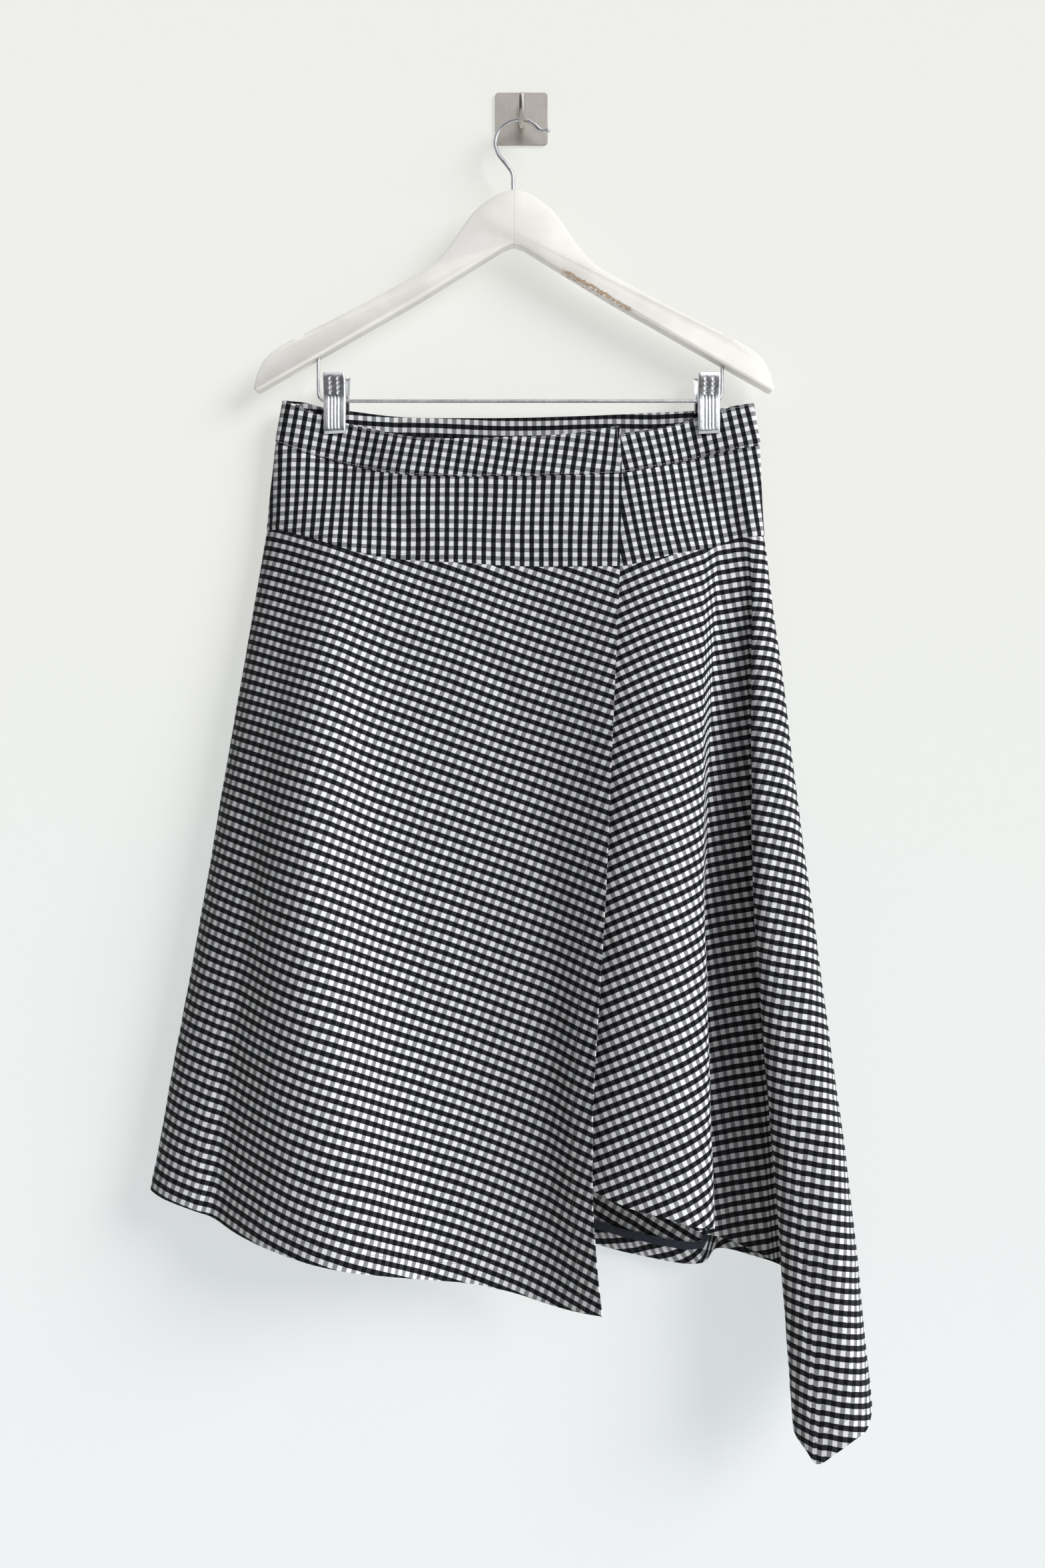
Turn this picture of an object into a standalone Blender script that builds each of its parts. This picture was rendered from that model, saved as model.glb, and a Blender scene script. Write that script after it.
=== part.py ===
"""An asymmetric gingham wrap skirt, clipped to a wooden hanger that hangs on a square steel wall hook.

Metres, +Z up, +X to the viewer's right. The wall is the plane Y = 0 and everything stands in front of it,
at negative Y. The origin is the centre of the wall plate's back face.
The tables are in millimetres: "across" is along X, "forward" is the distance out from the wall, and
"height" is along Z, so it is negative below the wall plate.
"""

import math

import bmesh
import bpy
import numpy as np
from mathutils import Vector

MM = 0.001
CLEARANCE = 0.3           # between pieces that touch

# Cloth
SEAM_GAP = 0.3            # between two pieces at their seam
PANEL_THICK = 1.4
YOKE_THICK = 1.8
WAISTBAND_THICK = 2.4
TURN_UP_THICK = 1.2
TURN_UP_TALL = 19.0
TURN_UP_FOOT = 0.4        # how far its fold stays above the hem's edge
STEPS = 2                 # columns of faces between two stations
COARSE = 2                # the yokes and waistbands take every second column
RAIL_STEPS = 6            # points between two stations of a waist curve
PANEL_ROWS = 11
SHARP_ANGLE = math.radians(40)

# Hanging gear
PLATE_SIDE = 45.5
PLATE_THICK = 1.5
PLATE_CORNER = 3.2
CORNER_STEPS = 4
PRONG_DIAMETER = 5.2
HOOK_WIRE = 3.4
BAR_WIRE = 3.0
HANG_FORWARD = 18.5       # the plane that holds the hanger, its hook and the bar
HANGER_THICK = 12.0
HANGER_EDGE = 1.6         # the rounding along its edges
HANGER_MIDDLE = -6.5
CLIP_WIDE = 17.6
JAW_THICK = 1.1
JAW_SHIFT = 2.2           # the back jaws stand this much nearer the middle

# The wrap skirt is one long strip round the body. It starts at the free edge of the left front, goes left
# across the front, round the back, and ends under the left front. Each row below is a vertical line on the
# cloth, with its place at up to four heights, so that the folds open out downwards.
FOLD_HEIGHTS = (-378.0, -645.0, -935.0, -1110.0)

# Left front, which lies on top. Name, height of its hem, then (across, forward) at each fold height.
OVER_FOLDS = (
    ("left side seam", -915, (-218, 11), (-260, 15), (-312, 23)),
    ("left edge", -916, (-220.5, 16), (-264.5, 24), (-315.5, 33)),
    ("side roll", -920, (-212.5, 25), (-255.5, 38), (-303, 45)),
    ("side crest", -928, (-198, 31), (-236, 51), (-272, 55)),
    ("side crease", -934, (-189, 34), (-222, 58), (-257, 52)),
    ("slope out", -943, (-179, 37), (-205, 71), (-233, 66)),
    ("shoulder", -950, (-169, 40), (-188, 81), (-204, 84)),
    ("main ridge", -957, (-159, 42), (-172, 86), (-171, 96)),
    ("ridge end", -963, (-146, 42), (-154, 81), (-144, 97)),
    ("slope in", -969, (-128, 42), (-134, 65), (-119, 88)),
    ("slope foot", -978, (-108, 41), (-115, 54), (-97, 69)),
    ("hollow start", -984, (-85, 40), (-90, 48.5), (-75, 57)),
    ("hollow", -989, (-50, 40), (-52, 46), (-42, 52)),
    ("hollow end", -996, (-12, 40), (-12, 46), (-7, 53)),
    ("wrap slope", -1002, (22, 41), (23, 52), (22, 61)),
    ("wrap roll", -1004, (52, 42), (48, 64), (42, 75), (56, 78)),
    ("wrap edge", -1003.5, (83, 43.5), (69.5, 74), (58.5, 84), (79, 89)),
)

# Back, from left to right. It starts and ends at the side seams of the two fronts.
BACK_FOLDS = (
    ("left turn", -909, (-210, 9), (-252.5, 9), (-302.5, 12)),
    ("left wave", -912, (-180, 9), (-222, 7), (-262, 8)),
    ("left hollow", -915, (-145, 10), (-178, 12), (-208, 17)),
    ("left back wave", -919, (-105, 10), (-128, 7), (-146, 8)),
    ("middle hollow", -930, (-60, 9), (-72, 11), (-82, 15)),
    ("middle wave", -948, (-10, 8), (-12, 7), (-14, 8)),
    ("right hollow", -963, (40, 8), (42, 10), (44, 13)),
    ("hem sweep", -979, (80, 9), (90, 7), (96, 9)),
    ("flute edge", -985, (114, 10), (130, 9), (151, 13)),
    ("behind the valley", -975, (132, 10), (150, 7), (165, 7)),
    ("valley back", -981, (154, 10), (176, 7), (196, 7)),
    ("tail back", -994, (174, 9), (200, 7), (226, 8)),
    ("tail turn", -1024, (190, 9), (222, 8), (252, 11), (257, 15)),
    ("right turn", -1052, (200, 10), (234, 13), (268, 21), (280, 29)),
)

# Right front, which lies beneath and drops into the tail, from its hidden edge to the right side seam.
UNDER_FOLDS = (
    ("hidden edge", -882, (10, 33), (2, 36), (-6, 40)),
    ("under the wrap", -894, (40, 34), (30, 41), (24, 48)),
    ("behind the edge", -904, (66, 36), (56, 52), (48, 62)),
    ("at the edge", -913, (88, 37.5), (78, 61), (69, 71)),
    ("bulge", -921, (106, 38), (99, 66), (92, 77)),
    ("bulge crest", -926, (122, 37.5), (118, 66), (116, 81)),
    ("bulge shoulder", -934, (137, 36), (136, 59), (139, 78)),
    ("bulge roll", -938, (149, 33), (148.5, 48), (154, 70)),
    ("bulge edge", -941, (157, 30), (153, 38), (158.5, 60)),
    ("fold behind", -946, (163, 27.5), (154, 29.5), (154, 48)),
    ("fold back", -951, (168, 25.5), (157, 23), (148, 35)),
    ("valley start", -956, (172, 24.5), (164, 19), (154, 25)),
    ("valley", -962, (177, 24), (177, 17.5), (174, 20)),
    ("valley floor", -973, (182, 24), (190, 17.5), (197, 19)),
    ("behind the tail", -985, (186, 24.2), (205, 19), (221, 21)),
    ("inner end", -1003, (189, 24.5), (217, 22), (243, 26)),
    ("inner turn", -1016, (191, 25), (222, 27), (252, 33), (256, 38)),
    ("return", -1032, (192.5, 25.6), (217, 32), (244, 41), (249, 47)),
    ("return end", -1062, (194, 26), (204, 36), (226, 47), (234, 54)),
    ("tail fold", -1090, (195.5, 26), (195.5, 41), (214.5, 54), (225.5, 62)),
    ("tail edge", -1104, (197.5, 26), (193, 47), (211.5, 62), (223.5, 70)),
    ("tail front", -1114, (199.5, 25.6), (197, 53), (219, 71), (230, 79)),
    ("tail point", -1124, (201.5, 25), (203, 55), (229, 74), (238, 82)),
    ("tail face", -1115, (203.5, 24), (212, 55), (243, 76), (252.5, 84.5)),
    ("tail crest", -1104, (205.5, 22.6), (224, 53), (258.5, 76), (269.5, 83.5)),
    ("tail strip", -1099, (207.2, 20.6), (233, 46), (268.5, 67), (281.5, 75)),
    ("right edge", -1084, (208.5, 18), (239.2, 36), (274.7, 52), (290, 61)),
    ("right side seam", -1066, (207.5, 14), (239, 25), (274.5, 38), (289, 46)),
)

# Seam between yoke and lower panel, as (across, height).
YOKE_SEAM = {
    "over": ((-216, -359), (-203, -361), (-174, -370), (-136, -382), (-102, -387.5),
             (-46, -390), (4, -393.5), (83, -393.5)),
    "back": ((-216, -359), (-150, -377), (-60, -386), (60, -387), (150, -378), (208, -364)),
    "under": ((10, -394), (88, -392), (112, -386.5), (132, -381.5), (162, -375), (181, -367), (208, -364)),
}

# Top edge of the waistband, as (across, forward, height). The fronts sag between the clips and the back
# is pulled straight, so its inside shows above them.
WAIST_TOP = {
    "over": ((-199.5, 14.2, -247.4), (-202.6, 17, -247.6), (-190, 19.8, -253), (-169, 20.4, -262),
             (-150, 20.6, -268), (-112, 25.5, -277.5), (-80, 29.5, -283), (-15, 32.5, -283),
             (44, 33, -280), (82.5, 32.5, -273)),
    "back": ((-186, 15.2, -249), (-170, 16.3, -253.5), (-144, 16.3, -257), (-104, 13.5, -261), (-47, 12, -261.5),
             (10, 12, -261), (72, 12.5, -259), (118, 13.5, -257), (146, 16.3, -256.5), (172, 16.3, -254),
             (186, 15.6, -251.3)),
    "under": ((10, 27.5, -283), (60, 27.5, -281), (89, 27, -278), (112, 24.5, -274.3), (134, 21, -268.5),
              (150, 20.3, -263), (168, 20.3, -257.5), (186, 19, -252.5), (197.3, 16.8, -250.2),
              (195.5, 14.6, -250.2)),
}

# Seam between waistband and yoke, as (across, forward, height).
WAIST_SEAM = {
    "over": ((-206.4, 13.2, -283.6), (-209.3, 17, -283.5), (-197, 20.4, -288.5), (-167, 20.9, -298.3),
             (-148, 22, -304), (-103, 33, -314.2), (-74, 36, -316.4), (4, 37, -316.6),
             (58, 36.6, -315.2), (84.5, 36, -314.4)),
    "back": ((-192, 14, -286), (-172, 16, -288.5), (-144, 16, -292), (-104, 11.5, -297.5), (-47, 10.5, -298),
             (10, 10.5, -297.5), (72, 11, -296), (118, 12, -294), (147, 16, -292), (176, 16, -289.5),
             (190, 14, -287.8)),
    "under": ((12, 31, -316.5), (62, 31, -315), (88, 31, -312.4), (113, 27.5, -307.2), (138, 22, -301.2),
              (151, 20.6, -297.8), (174, 20.6, -292), (192, 20, -288.5), (203.2, 17.6, -286.3),
              (201.4, 14, -286.3)),
}

# Right half of the hanger's outline, from its neck out along the top and back underneath, as (across from
# the middle, height). The strap notch is cut afterwards.
HANGER_TOP = ((0, -70), (11, -73), (23, -80), (34, -89.5), (42.5, -101), (54.5, -118.5), (68, -133.5),
              (90, -146.5), (130, -168.5), (173.5, -190.5), (200, -204.5), (212, -215), (218, -227))
HANGER_UNDER = ((221, -239.5), (218, -242), (164, -211.5), (82, -165), (8, -119.5))
HANGER_APEX = (0, -117)
STRAP_NOTCH = (183, -193.5)
NOTCH_RADIUS = 5.0

# Routes of the bent rods. The wall hook lies in the plane across = 0, as (forward, height), and the other
# two face the viewer, as (across, height).
WALL_HOOK_ROUTE = ((3.4, 11.5), (6, 9.6), (7.6, 4), (10, -5.5), (14, -11.9), (18.5, -13.8), (23.5, -12), (28, -6.5),
                   (31, 0.5), (33, 7.5))
HANGER_HOOK_ROUTE = ((-6.9, -78), (-7.2, -66), (-7.8, -55), (-11.5, -48.5), (-19.6, -37.2), (-22.4, -27),
                     (-19.8, -17.5), (-13, -11.3), (-5, -8.9), (3.5, -9.2), (11.5, -14.2), (17, -19.4),
                     (23, -19.8))
HOOK_TURN = 4.0           # how far the hook's left side stands back and its tip forward
HOOK_REACH = 23.0         # distance across from the middle to that side and that tip
TURN_FOOT, TURN_FULL = -60.0, -30.0   # heights where the turn begins and is complete
BORE_TOP = -60.0
BAR_HEIGHT = -248.7
BAR_ENDS = ((-173.2, -206.0), (171.0, -203.0))
BAR_BEND = 7.0
BEND_POINTS = 6
BAR_BORE_LONG = 30.0

# Clips: middle of each, and the front jaw's profile down its height as (height from the bar, forward).
CLIPS = (("left", -158.7), ("right", 159.4))
JAW_PROFILE = ((21.5, 27.2), (19.5, 27.6), (8, 24.8), (2, 23.6), (-6, 23.7), (-14, 23.9), (-24, 23.6),
               (-28.5, 22.9))
JAW_FLUTES = 4
FLUTE_DEEP = 0.7
FLUTE_TOP = 6.0           # the flutes start this far above the bar
SPRING_OUTER = 4.3
SPRING_LONG = 9.0
SPRING_SIDES = 14


def smooth_path(stations, steps):
    """Points along a smooth curve through the stations, with `steps` to each stretch between two of them."""
    points = np.asarray(stations, float)
    knots = np.vstack([2 * points[0] - points[1], points, 2 * points[-1] - points[-2]])
    times = np.concatenate([[0], np.cumsum(np.sqrt(np.linalg.norm(np.diff(knots, axis=0), axis=1)))])
    path = []
    for i in range(1, len(knots) - 2):
        p0, p1, p2, p3 = knots[i - 1:i + 3]
        t0, t1, t2, t3 = times[i - 1:i + 3]
        for t in np.linspace(t1, t2, steps, endpoint=False):
            a = ((t1 - t) * p0 + (t - t0) * p1) / (t1 - t0)
            b = ((t2 - t) * p1 + (t - t1) * p2) / (t2 - t1)
            c = ((t3 - t) * p2 + (t - t2) * p3) / (t3 - t2)
            d = ((t2 - t) * a + (t - t0) * b) / (t2 - t0)
            e = ((t3 - t) * b + (t - t1) * c) / (t3 - t1)
            path.append(((t2 - t) * d + (t - t1) * e) / (t2 - t1))
    path.append(points[-1])
    return np.array(path)


def fractions(path):
    """How far along its path each point is, from 0 to 1."""
    along = np.concatenate([[0], np.cumsum(np.linalg.norm(np.diff(path, axis=0), axis=1))])
    return along / along[-1]


def resample(path, wanted):
    """The points of a path at the wanted fractions of its length."""
    at = fractions(path)
    return np.stack([np.interp(wanted, at, path[:, k]) for k in range(path.shape[1])], axis=1)


def blend_heights(places, height):
    """The value at a height of a smooth curve through the places, which stand at the first fold heights."""
    heights = np.array(FOLD_HEIGHTS[:len(places)])
    places = np.asarray(places, float)
    slopes = np.gradient(places, heights, axis=0)
    if height >= heights[0]:
        return places[0] + slopes[0] * (height - heights[0])
    if height <= heights[-1]:
        return places[-1] + slopes[-1] * (height - heights[-1])
    i = int(np.searchsorted(-heights, -height)) - 1
    span = heights[i + 1] - heights[i]
    t = (height - heights[i]) / span
    return ((2 * t**3 - 3 * t**2 + 1) * places[i] + (t**3 - 2 * t**2 + t) * span * slopes[i]
            + (3 * t**2 - 2 * t**3) * places[i + 1] + (t**3 - t**2) * span * slopes[i + 1])


def seam_height(piece, across):
    table = np.array(YOKE_SEAM[piece], float)
    return float(np.interp(across, table[:, 0], table[:, 1]))


def strip_stations():
    """Every vertical line of the lower panels in order round the strip, and the indices of the two side seams."""
    over = [("over", *row) for row in reversed(OVER_FOLDS)]
    back = [("back", *row) for row in BACK_FOLDS]
    under = [("under", *row) for row in reversed(UNDER_FOLDS)]
    return over + back + under, len(over) - 1, len(over) + len(back)


def panel_rows():
    """Rows of points of the lower panels, from the yoke seam to the hem, all the way round the strip."""
    stations, left, right = strip_stations()
    rows = []
    for level in np.linspace(0, 1, PANEL_ROWS + 1):
        places = []
        for piece, _, hem, *folds in stations:
            top = seam_height(piece, folds[0][0])
            height = top + (hem - top) * level
            across, forward = blend_heights(folds, height)
            places.append((across, forward, height))
        rows.append(smooth_path(places, STEPS))
    return np.array(rows), left * STEPS, right * STEPS


def waist_row(tables, spans, yoke_row):
    """A row of the waist: each piece's own curve, with its columns spaced as they are along the yoke seam."""
    over = list(reversed(tables["over"]))
    under = list(reversed(tables["under"]))
    back = [over[-1], *tables["back"], under[0]]
    columns = []
    for rail, (start, end) in zip((over, back, under), spans):
        at = fractions(yoke_row[start:end + 1])
        points = resample(smooth_path(rail, RAIL_STEPS), at)
        columns.append(points if start == 0 else points[1:])
    return np.vstack(columns)


def garment():
    """All rows of the cloth, their outward directions, and the spans of columns of its three widths."""
    panels, left, right = panel_rows()
    last = panels.shape[1] - 1
    spans = ((0, left), (left, right), (right, last))
    top = waist_row(WAIST_TOP, spans, panels[0])
    seam = waist_row(WAIST_SEAM, spans, panels[0])
    rows = [top, (top + seam) / 2, seam, (seam + panels[0]) / 2, *panels]
    points = np.array(rows)
    points = np.stack([points[..., 0], -points[..., 1], points[..., 2]], axis=2)
    along = np.gradient(points, axis=1)
    down = np.gradient(points, axis=0)
    outward = np.cross(along, down)
    outward /= np.linalg.norm(outward, axis=2, keepdims=True)
    return points, outward, spans


def material(name, colour, roughness, metallic=0.0):
    made = bpy.data.materials.new(name)
    made.use_nodes = True
    shader = made.node_tree.nodes["Principled BSDF"]
    shader.inputs["Base Color"].default_value = (*colour, 1)
    shader.inputs["Roughness"].default_value = roughness
    shader.inputs["Metallic"].default_value = metallic
    made.diffuse_color = (*colour, 1)
    return made


def add_object(name, data, finish):
    made = bpy.data.objects.new(name, data)
    bpy.context.scene.collection.objects.link(made)
    made.data.materials.append(finish)
    return made


def mesh_object(name, points, faces, finish):
    """A closed mesh from points in millimetres, with its faces turned out."""
    mesh = bpy.data.meshes.new(name)
    mesh.from_pydata([Vector(p) * MM for p in points], [], faces)
    shape = bmesh.new()
    shape.from_mesh(mesh)
    bmesh.ops.recalc_face_normals(shape, faces=shape.faces)
    shape.to_mesh(mesh)
    shape.free()
    mesh.shade_smooth()
    mesh.set_sharp_from_angle(angle=SHARP_ANGLE)
    return add_object(name, mesh, finish)


def draw_in(grid, edges):
    """Moves the named border rows and columns of a grid in by half a seam's gap."""
    grid = grid.copy()
    borders = {"top": (0, 1, 0), "bottom": (-1, -2, 0), "first": (0, 1, 1), "last": (-1, -2, 1)}
    for edge in edges:
        border, inner, axis = borders[edge]
        outer_line = grid[border] if axis == 0 else grid[:, border]
        inner_line = grid[inner] if axis == 0 else grid[:, inner]
        step = inner_line - outer_line
        outer_line += step / np.linalg.norm(step, axis=1, keepdims=True) * SEAM_GAP / 2
    return grid


def sheet(name, middle, outward, thick, finish):
    """A wall of even thickness on a grid of its middle points, closed round its rim."""
    rows, columns = middle.shape[:2]
    outer = (middle + outward * thick / 2).reshape(-1, 3)
    inner = (middle - outward * thick / 2).reshape(-1, 3)
    count = rows * columns
    faces = []
    for r in range(rows - 1):
        for c in range(columns - 1):
            a = r * columns + c
            b, d = a + 1, a + columns
            e = d + 1
            faces += [(a, b, e), (a, e, d), (count + a, count + e, count + b), (count + a, count + d, count + e)]
    rim = list(range(columns))
    rim += [r * columns + columns - 1 for r in range(1, rows)]
    rim += [(rows - 1) * columns + c for c in range(columns - 2, -1, -1)]
    rim += [r * columns for r in range(rows - 2, 0, -1)]
    for here, there in zip(rim, rim[1:] + rim[:1]):
        faces.append((here, there, count + there, count + here))
    return mesh_object(name, np.vstack([outer, inner]), faces, finish)


def build_cloth(points, outward, spans):
    gingham = {
        "over": material("gingham over", (0.32, 0.32, 0.33), 0.8),
        "back": material("gingham back", (0.24, 0.24, 0.26), 0.8),
        "under": material("gingham under", (0.28, 0.28, 0.3), 0.8),
    }
    layers = (("waistband", 0, 2, COARSE, WAISTBAND_THICK, ("bottom",)),
              ("yoke", 2, 4, COARSE, YOKE_THICK, ("top", "bottom")),
              ("panel", 4, len(points) - 1, 1, PANEL_THICK, ("top",)))
    seams = {"over": ("last",), "back": ("first", "last"), "under": ("first",)}
    for piece, (start, end) in zip(("over", "back", "under"), spans):
        for layer, top, bottom, step, thick, edges in layers:
            part = np.s_[top:bottom + 1, start:end + 1:step]
            middle = draw_in(points[part], edges + seams[piece])
            sheet(f"{layer}_{piece}", middle, outward[part], thick, gingham[piece])


def build_turn_up(points, outward, spans):
    """The hem of the back, folded up inside it, so that it lies on the panel's own inner points."""
    start, end = spans[1]
    hem, above = points[-1, start:end + 1], points[-2, start:end + 1]
    tall = np.linalg.norm(above - hem, axis=1, keepdims=True)
    lift = PANEL_THICK / 2 + CLEARANCE + TURN_UP_THICK / 2
    rows, directions = [], []
    for rise in (TURN_UP_TALL, TURN_UP_TALL / 2, TURN_UP_FOOT):
        share = rise / tall
        direction = outward[-1, start:end + 1] * (1 - share) + outward[-2, start:end + 1] * share
        direction /= np.linalg.norm(direction, axis=1, keepdims=True)
        rows.append(hem + (above - hem) * share - direction * lift)
        directions.append(direction)
    middle = draw_in(np.array(rows), ("first", "last"))
    inset = slice(1, -1)
    finish = material("turned up hem", (0.3, 0.3, 0.32), 0.8)
    sheet("hem_turn_up", middle[:, inset], np.array(directions)[:, inset], TURN_UP_THICK, finish)


def cylinder(name, centre, axis, radius, length, sides=16):
    """A mesh cylinder, as a cutter or as a base for one."""
    shape = bmesh.new()
    bmesh.ops.create_cone(shape, cap_ends=True, segments=sides, radius1=radius * MM, radius2=radius * MM,
                          depth=length * MM)
    turn = Vector((0, 0, 1)).rotation_difference(Vector(axis)).to_matrix()
    bmesh.ops.rotate(shape, matrix=turn, verts=shape.verts)
    bmesh.ops.translate(shape, vec=Vector(centre) * MM, verts=shape.verts)
    mesh = bpy.data.meshes.new(name)
    shape.to_mesh(mesh)
    shape.free()
    return mesh


def cut(target, name, mesh):
    cutter = bpy.data.objects.new(name, mesh)
    bpy.context.scene.collection.objects.link(cutter)
    cutter.hide_render = True
    cutter.display_type = "WIRE"
    step = target.modifiers.new(name, "BOOLEAN")
    step.operation = "DIFFERENCE"
    step.object = cutter


def extruded(name, outline, front, back, finish):
    """A flat outline of (across, height) with its two faces at the given distances forward."""
    count = len(outline)
    points = [(x, -front, z) for x, z in outline] + [(x, -back, z) for x, z in outline]
    faces = [tuple(range(count)), tuple(range(2 * count - 1, count - 1, -1))]
    faces += [(i, (i + 1) % count, count + (i + 1) % count, count + i) for i in range(count)]
    return mesh_object(name, points, faces, finish)


def bevelled(target, width, segments):
    bevel = target.modifiers.new("soft edges", "BEVEL")
    bevel.width = width * MM
    bevel.segments = segments
    bevel.limit_method = "ANGLE"
    bevel.angle_limit = SHARP_ANGLE
    return target


def rod(name, route, diameter, finish, resolution=3):
    """A bent round rod along a route of points in millimetres."""
    curve = bpy.data.curves.new(name, "CURVE")
    curve.dimensions = "3D"
    curve.bevel_depth = diameter / 2 * MM
    curve.bevel_resolution = resolution
    curve.use_fill_caps = True
    spline = curve.splines.new("POLY")
    spline.points.add(len(route) - 1)
    for point, place in zip(spline.points, route):
        point.co = (*(Vector(place) * MM), 1)
    return add_object(name, curve, finish)


def build_wall_hook():
    steel = material("brushed steel", (0.42, 0.39, 0.35), 0.35, 1.0)
    half, corner = PLATE_SIDE / 2, PLATE_CORNER
    outline = []
    for quarter, (sx, sz) in enumerate(((1, 1), (-1, 1), (-1, -1), (1, -1))):
        for step in range(CORNER_STEPS + 1):
            angle = math.radians(90 * (quarter + step / CORNER_STEPS))
            outline.append((sx * (half - corner) + corner * math.cos(angle),
                            sz * (half - corner) + corner * math.sin(angle)))
    extruded("wall_plate", outline, PLATE_THICK, 0, steel)
    route = [(0, -forward, height) for forward, height in smooth_path(WALL_HOOK_ROUTE, 3)]
    foot = (0, -PLATE_THICK - CLEARANCE, WALL_HOOK_ROUTE[0][1])
    rod("wall_hook", [foot, *route], PRONG_DIAMETER, material("rod steel", (0.5, 0.48, 0.45), 0.25, 1.0))


def build_hanger():
    wire = material("steel wire", (0.55, 0.55, 0.56), 0.25, 1.0)
    route = []
    for across, height in smooth_path(HANGER_HOOK_ROUTE, 3):
        turn = max(0.0, min(1.0, (height - TURN_FOOT) / (TURN_FULL - TURN_FOOT)))
        forward = HANG_FORWARD + HOOK_TURN * turn * across / HOOK_REACH
        route.append((across, -forward, height))
    rod("hanger_hook", route, HOOK_WIRE, wire)

    top = smooth_path(HANGER_TOP, 2)
    half = [tuple(p) for p in top] + list(HANGER_UNDER)
    left = [(-x, z) for x, z in reversed(half[1:])]
    outline = [(HANGER_MIDDLE + x, z) for x, z in half + [HANGER_APEX] + left]
    wood = material("white painted wood", (0.78, 0.75, 0.71), 0.5)
    front, back = HANG_FORWARD + HANGER_THICK / 2, HANG_FORWARD - HANGER_THICK / 2
    body = bevelled(extruded("hanger_body", outline, front, back, wood), HANGER_EDGE, 2)
    bore_foot = HANGER_HOOK_ROUTE[0][1] - CLEARANCE
    place = (HANGER_HOOK_ROUTE[0][0], -HANG_FORWARD, (bore_foot + BORE_TOP) / 2)
    cut(body, "hook_bore", cylinder("hook_bore", place, (0, 0, 1), HOOK_WIRE / 2 + CLEARANCE, BORE_TOP - bore_foot))
    for side, (across, height) in zip(("left", "right"), BAR_ENDS):
        name = f"bar_bore_{side}"
        place = (across, -HANG_FORWARD, height + CLEARANCE - BAR_BORE_LONG / 2)
        cut(body, name, cylinder(name, place, (0, 0, 1), BAR_WIRE / 2 + CLEARANCE, BAR_BORE_LONG))
    for side, sign in (("left", -1), ("right", 1)):
        name = f"notch_{side}"
        place = (HANGER_MIDDLE + sign * STRAP_NOTCH[0], -HANG_FORWARD, STRAP_NOTCH[1])
        cut(body, name, cylinder(name, place, (0, 1, 0), NOTCH_RADIUS, 2 * HANGER_THICK))


def build_bar():
    wire = material("bar wire", (0.5, 0.5, 0.5), 0.25, 1.0)
    (left, left_top), (right, right_top) = BAR_ENDS
    route = [(left, left_top)]
    for centre, sides in (((left + BAR_BEND, BAR_HEIGHT + BAR_BEND), (180, 270)),
                          ((right - BAR_BEND, BAR_HEIGHT + BAR_BEND), (270, 360))):
        for angle in np.radians(np.linspace(*sides, BEND_POINTS)):
            route.append((centre[0] + BAR_BEND * math.cos(angle), centre[1] + BAR_BEND * math.sin(angle)))
    route.append((right, right_top))
    rod("clip_bar", [(x, -HANG_FORWARD, z) for x, z in route], BAR_WIRE, wire)


def jaw_grid(middle, mirror):
    """Points and directions of a jaw: fluted across its width, bent down its height."""
    columns = 2 * JAW_FLUTES + 1
    across = np.linspace(-CLIP_WIDE / 2, CLIP_WIDE / 2, columns)
    heights, forwards = np.array(JAW_PROFILE, float).T
    points = np.zeros((len(heights), columns, 3))
    for r, (height, forward) in enumerate(zip(heights, forwards)):
        flute = FLUTE_DEEP if height < FLUTE_TOP and r < len(heights) - 1 else 0.0
        wave = np.where(np.arange(columns) % 2 == 1, flute, 0.0)
        stand = forward - HANG_FORWARD + wave
        points[r] = np.stack([middle + across, -(HANG_FORWARD + mirror * stand),
                              np.full(columns, BAR_HEIGHT + height)], axis=1)
    outward = np.tile((0.0, -float(mirror), 0.0), (len(heights), columns, 1))
    return points, outward


def build_clips():
    chrome = material("chrome", (0.62, 0.62, 0.63), 0.15, 1.0)
    for side, middle in CLIPS:
        shift = JAW_SHIFT if side == "left" else -JAW_SHIFT
        for end, mirror, place in (("front", 1, middle), ("back", -1, middle + shift)):
            points, outward = jaw_grid(place, mirror)
            sheet(f"clip_{end}_{side}", points, outward, JAW_THICK, chrome)
        inner = BAR_WIRE / 2 + CLEARANCE
        spring = bpy.data.meshes.new(f"clip_spring_{side}")
        shape = bmesh.new()
        profile = [(inner, -SPRING_LONG / 2), (SPRING_OUTER, -SPRING_LONG / 2), (SPRING_OUTER, SPRING_LONG / 2),
                   (inner, SPRING_LONG / 2)]
        ring = [shape.verts.new(Vector((along, radius, 0)) * MM) for radius, along in profile]
        edges = [shape.edges.new((a, b)) for a, b in zip(ring, ring[1:] + ring[:1])]
        bmesh.ops.spin(shape, geom=ring + edges, cent=(0, 0, 0), axis=(1, 0, 0), angle=math.tau, steps=SPRING_SIDES,
                       use_duplicate=False)
        bmesh.ops.remove_doubles(shape, verts=shape.verts, dist=0.00001)
        bmesh.ops.translate(shape, verts=shape.verts, vec=Vector((middle, -HANG_FORWARD, BAR_HEIGHT)) * MM)
        bmesh.ops.recalc_face_normals(shape, faces=shape.faces)
        shape.to_mesh(spring)
        shape.free()
        add_object(f"clip_spring_{side}", spring, chrome)


def main():
    for old in list(bpy.data.objects):
        bpy.data.objects.remove(old)
    points, outward, spans = garment()
    build_cloth(points, outward, spans)
    build_turn_up(points, outward, spans)
    build_wall_hook()
    build_hanger()
    build_bar()
    build_clips()


main()
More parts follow.
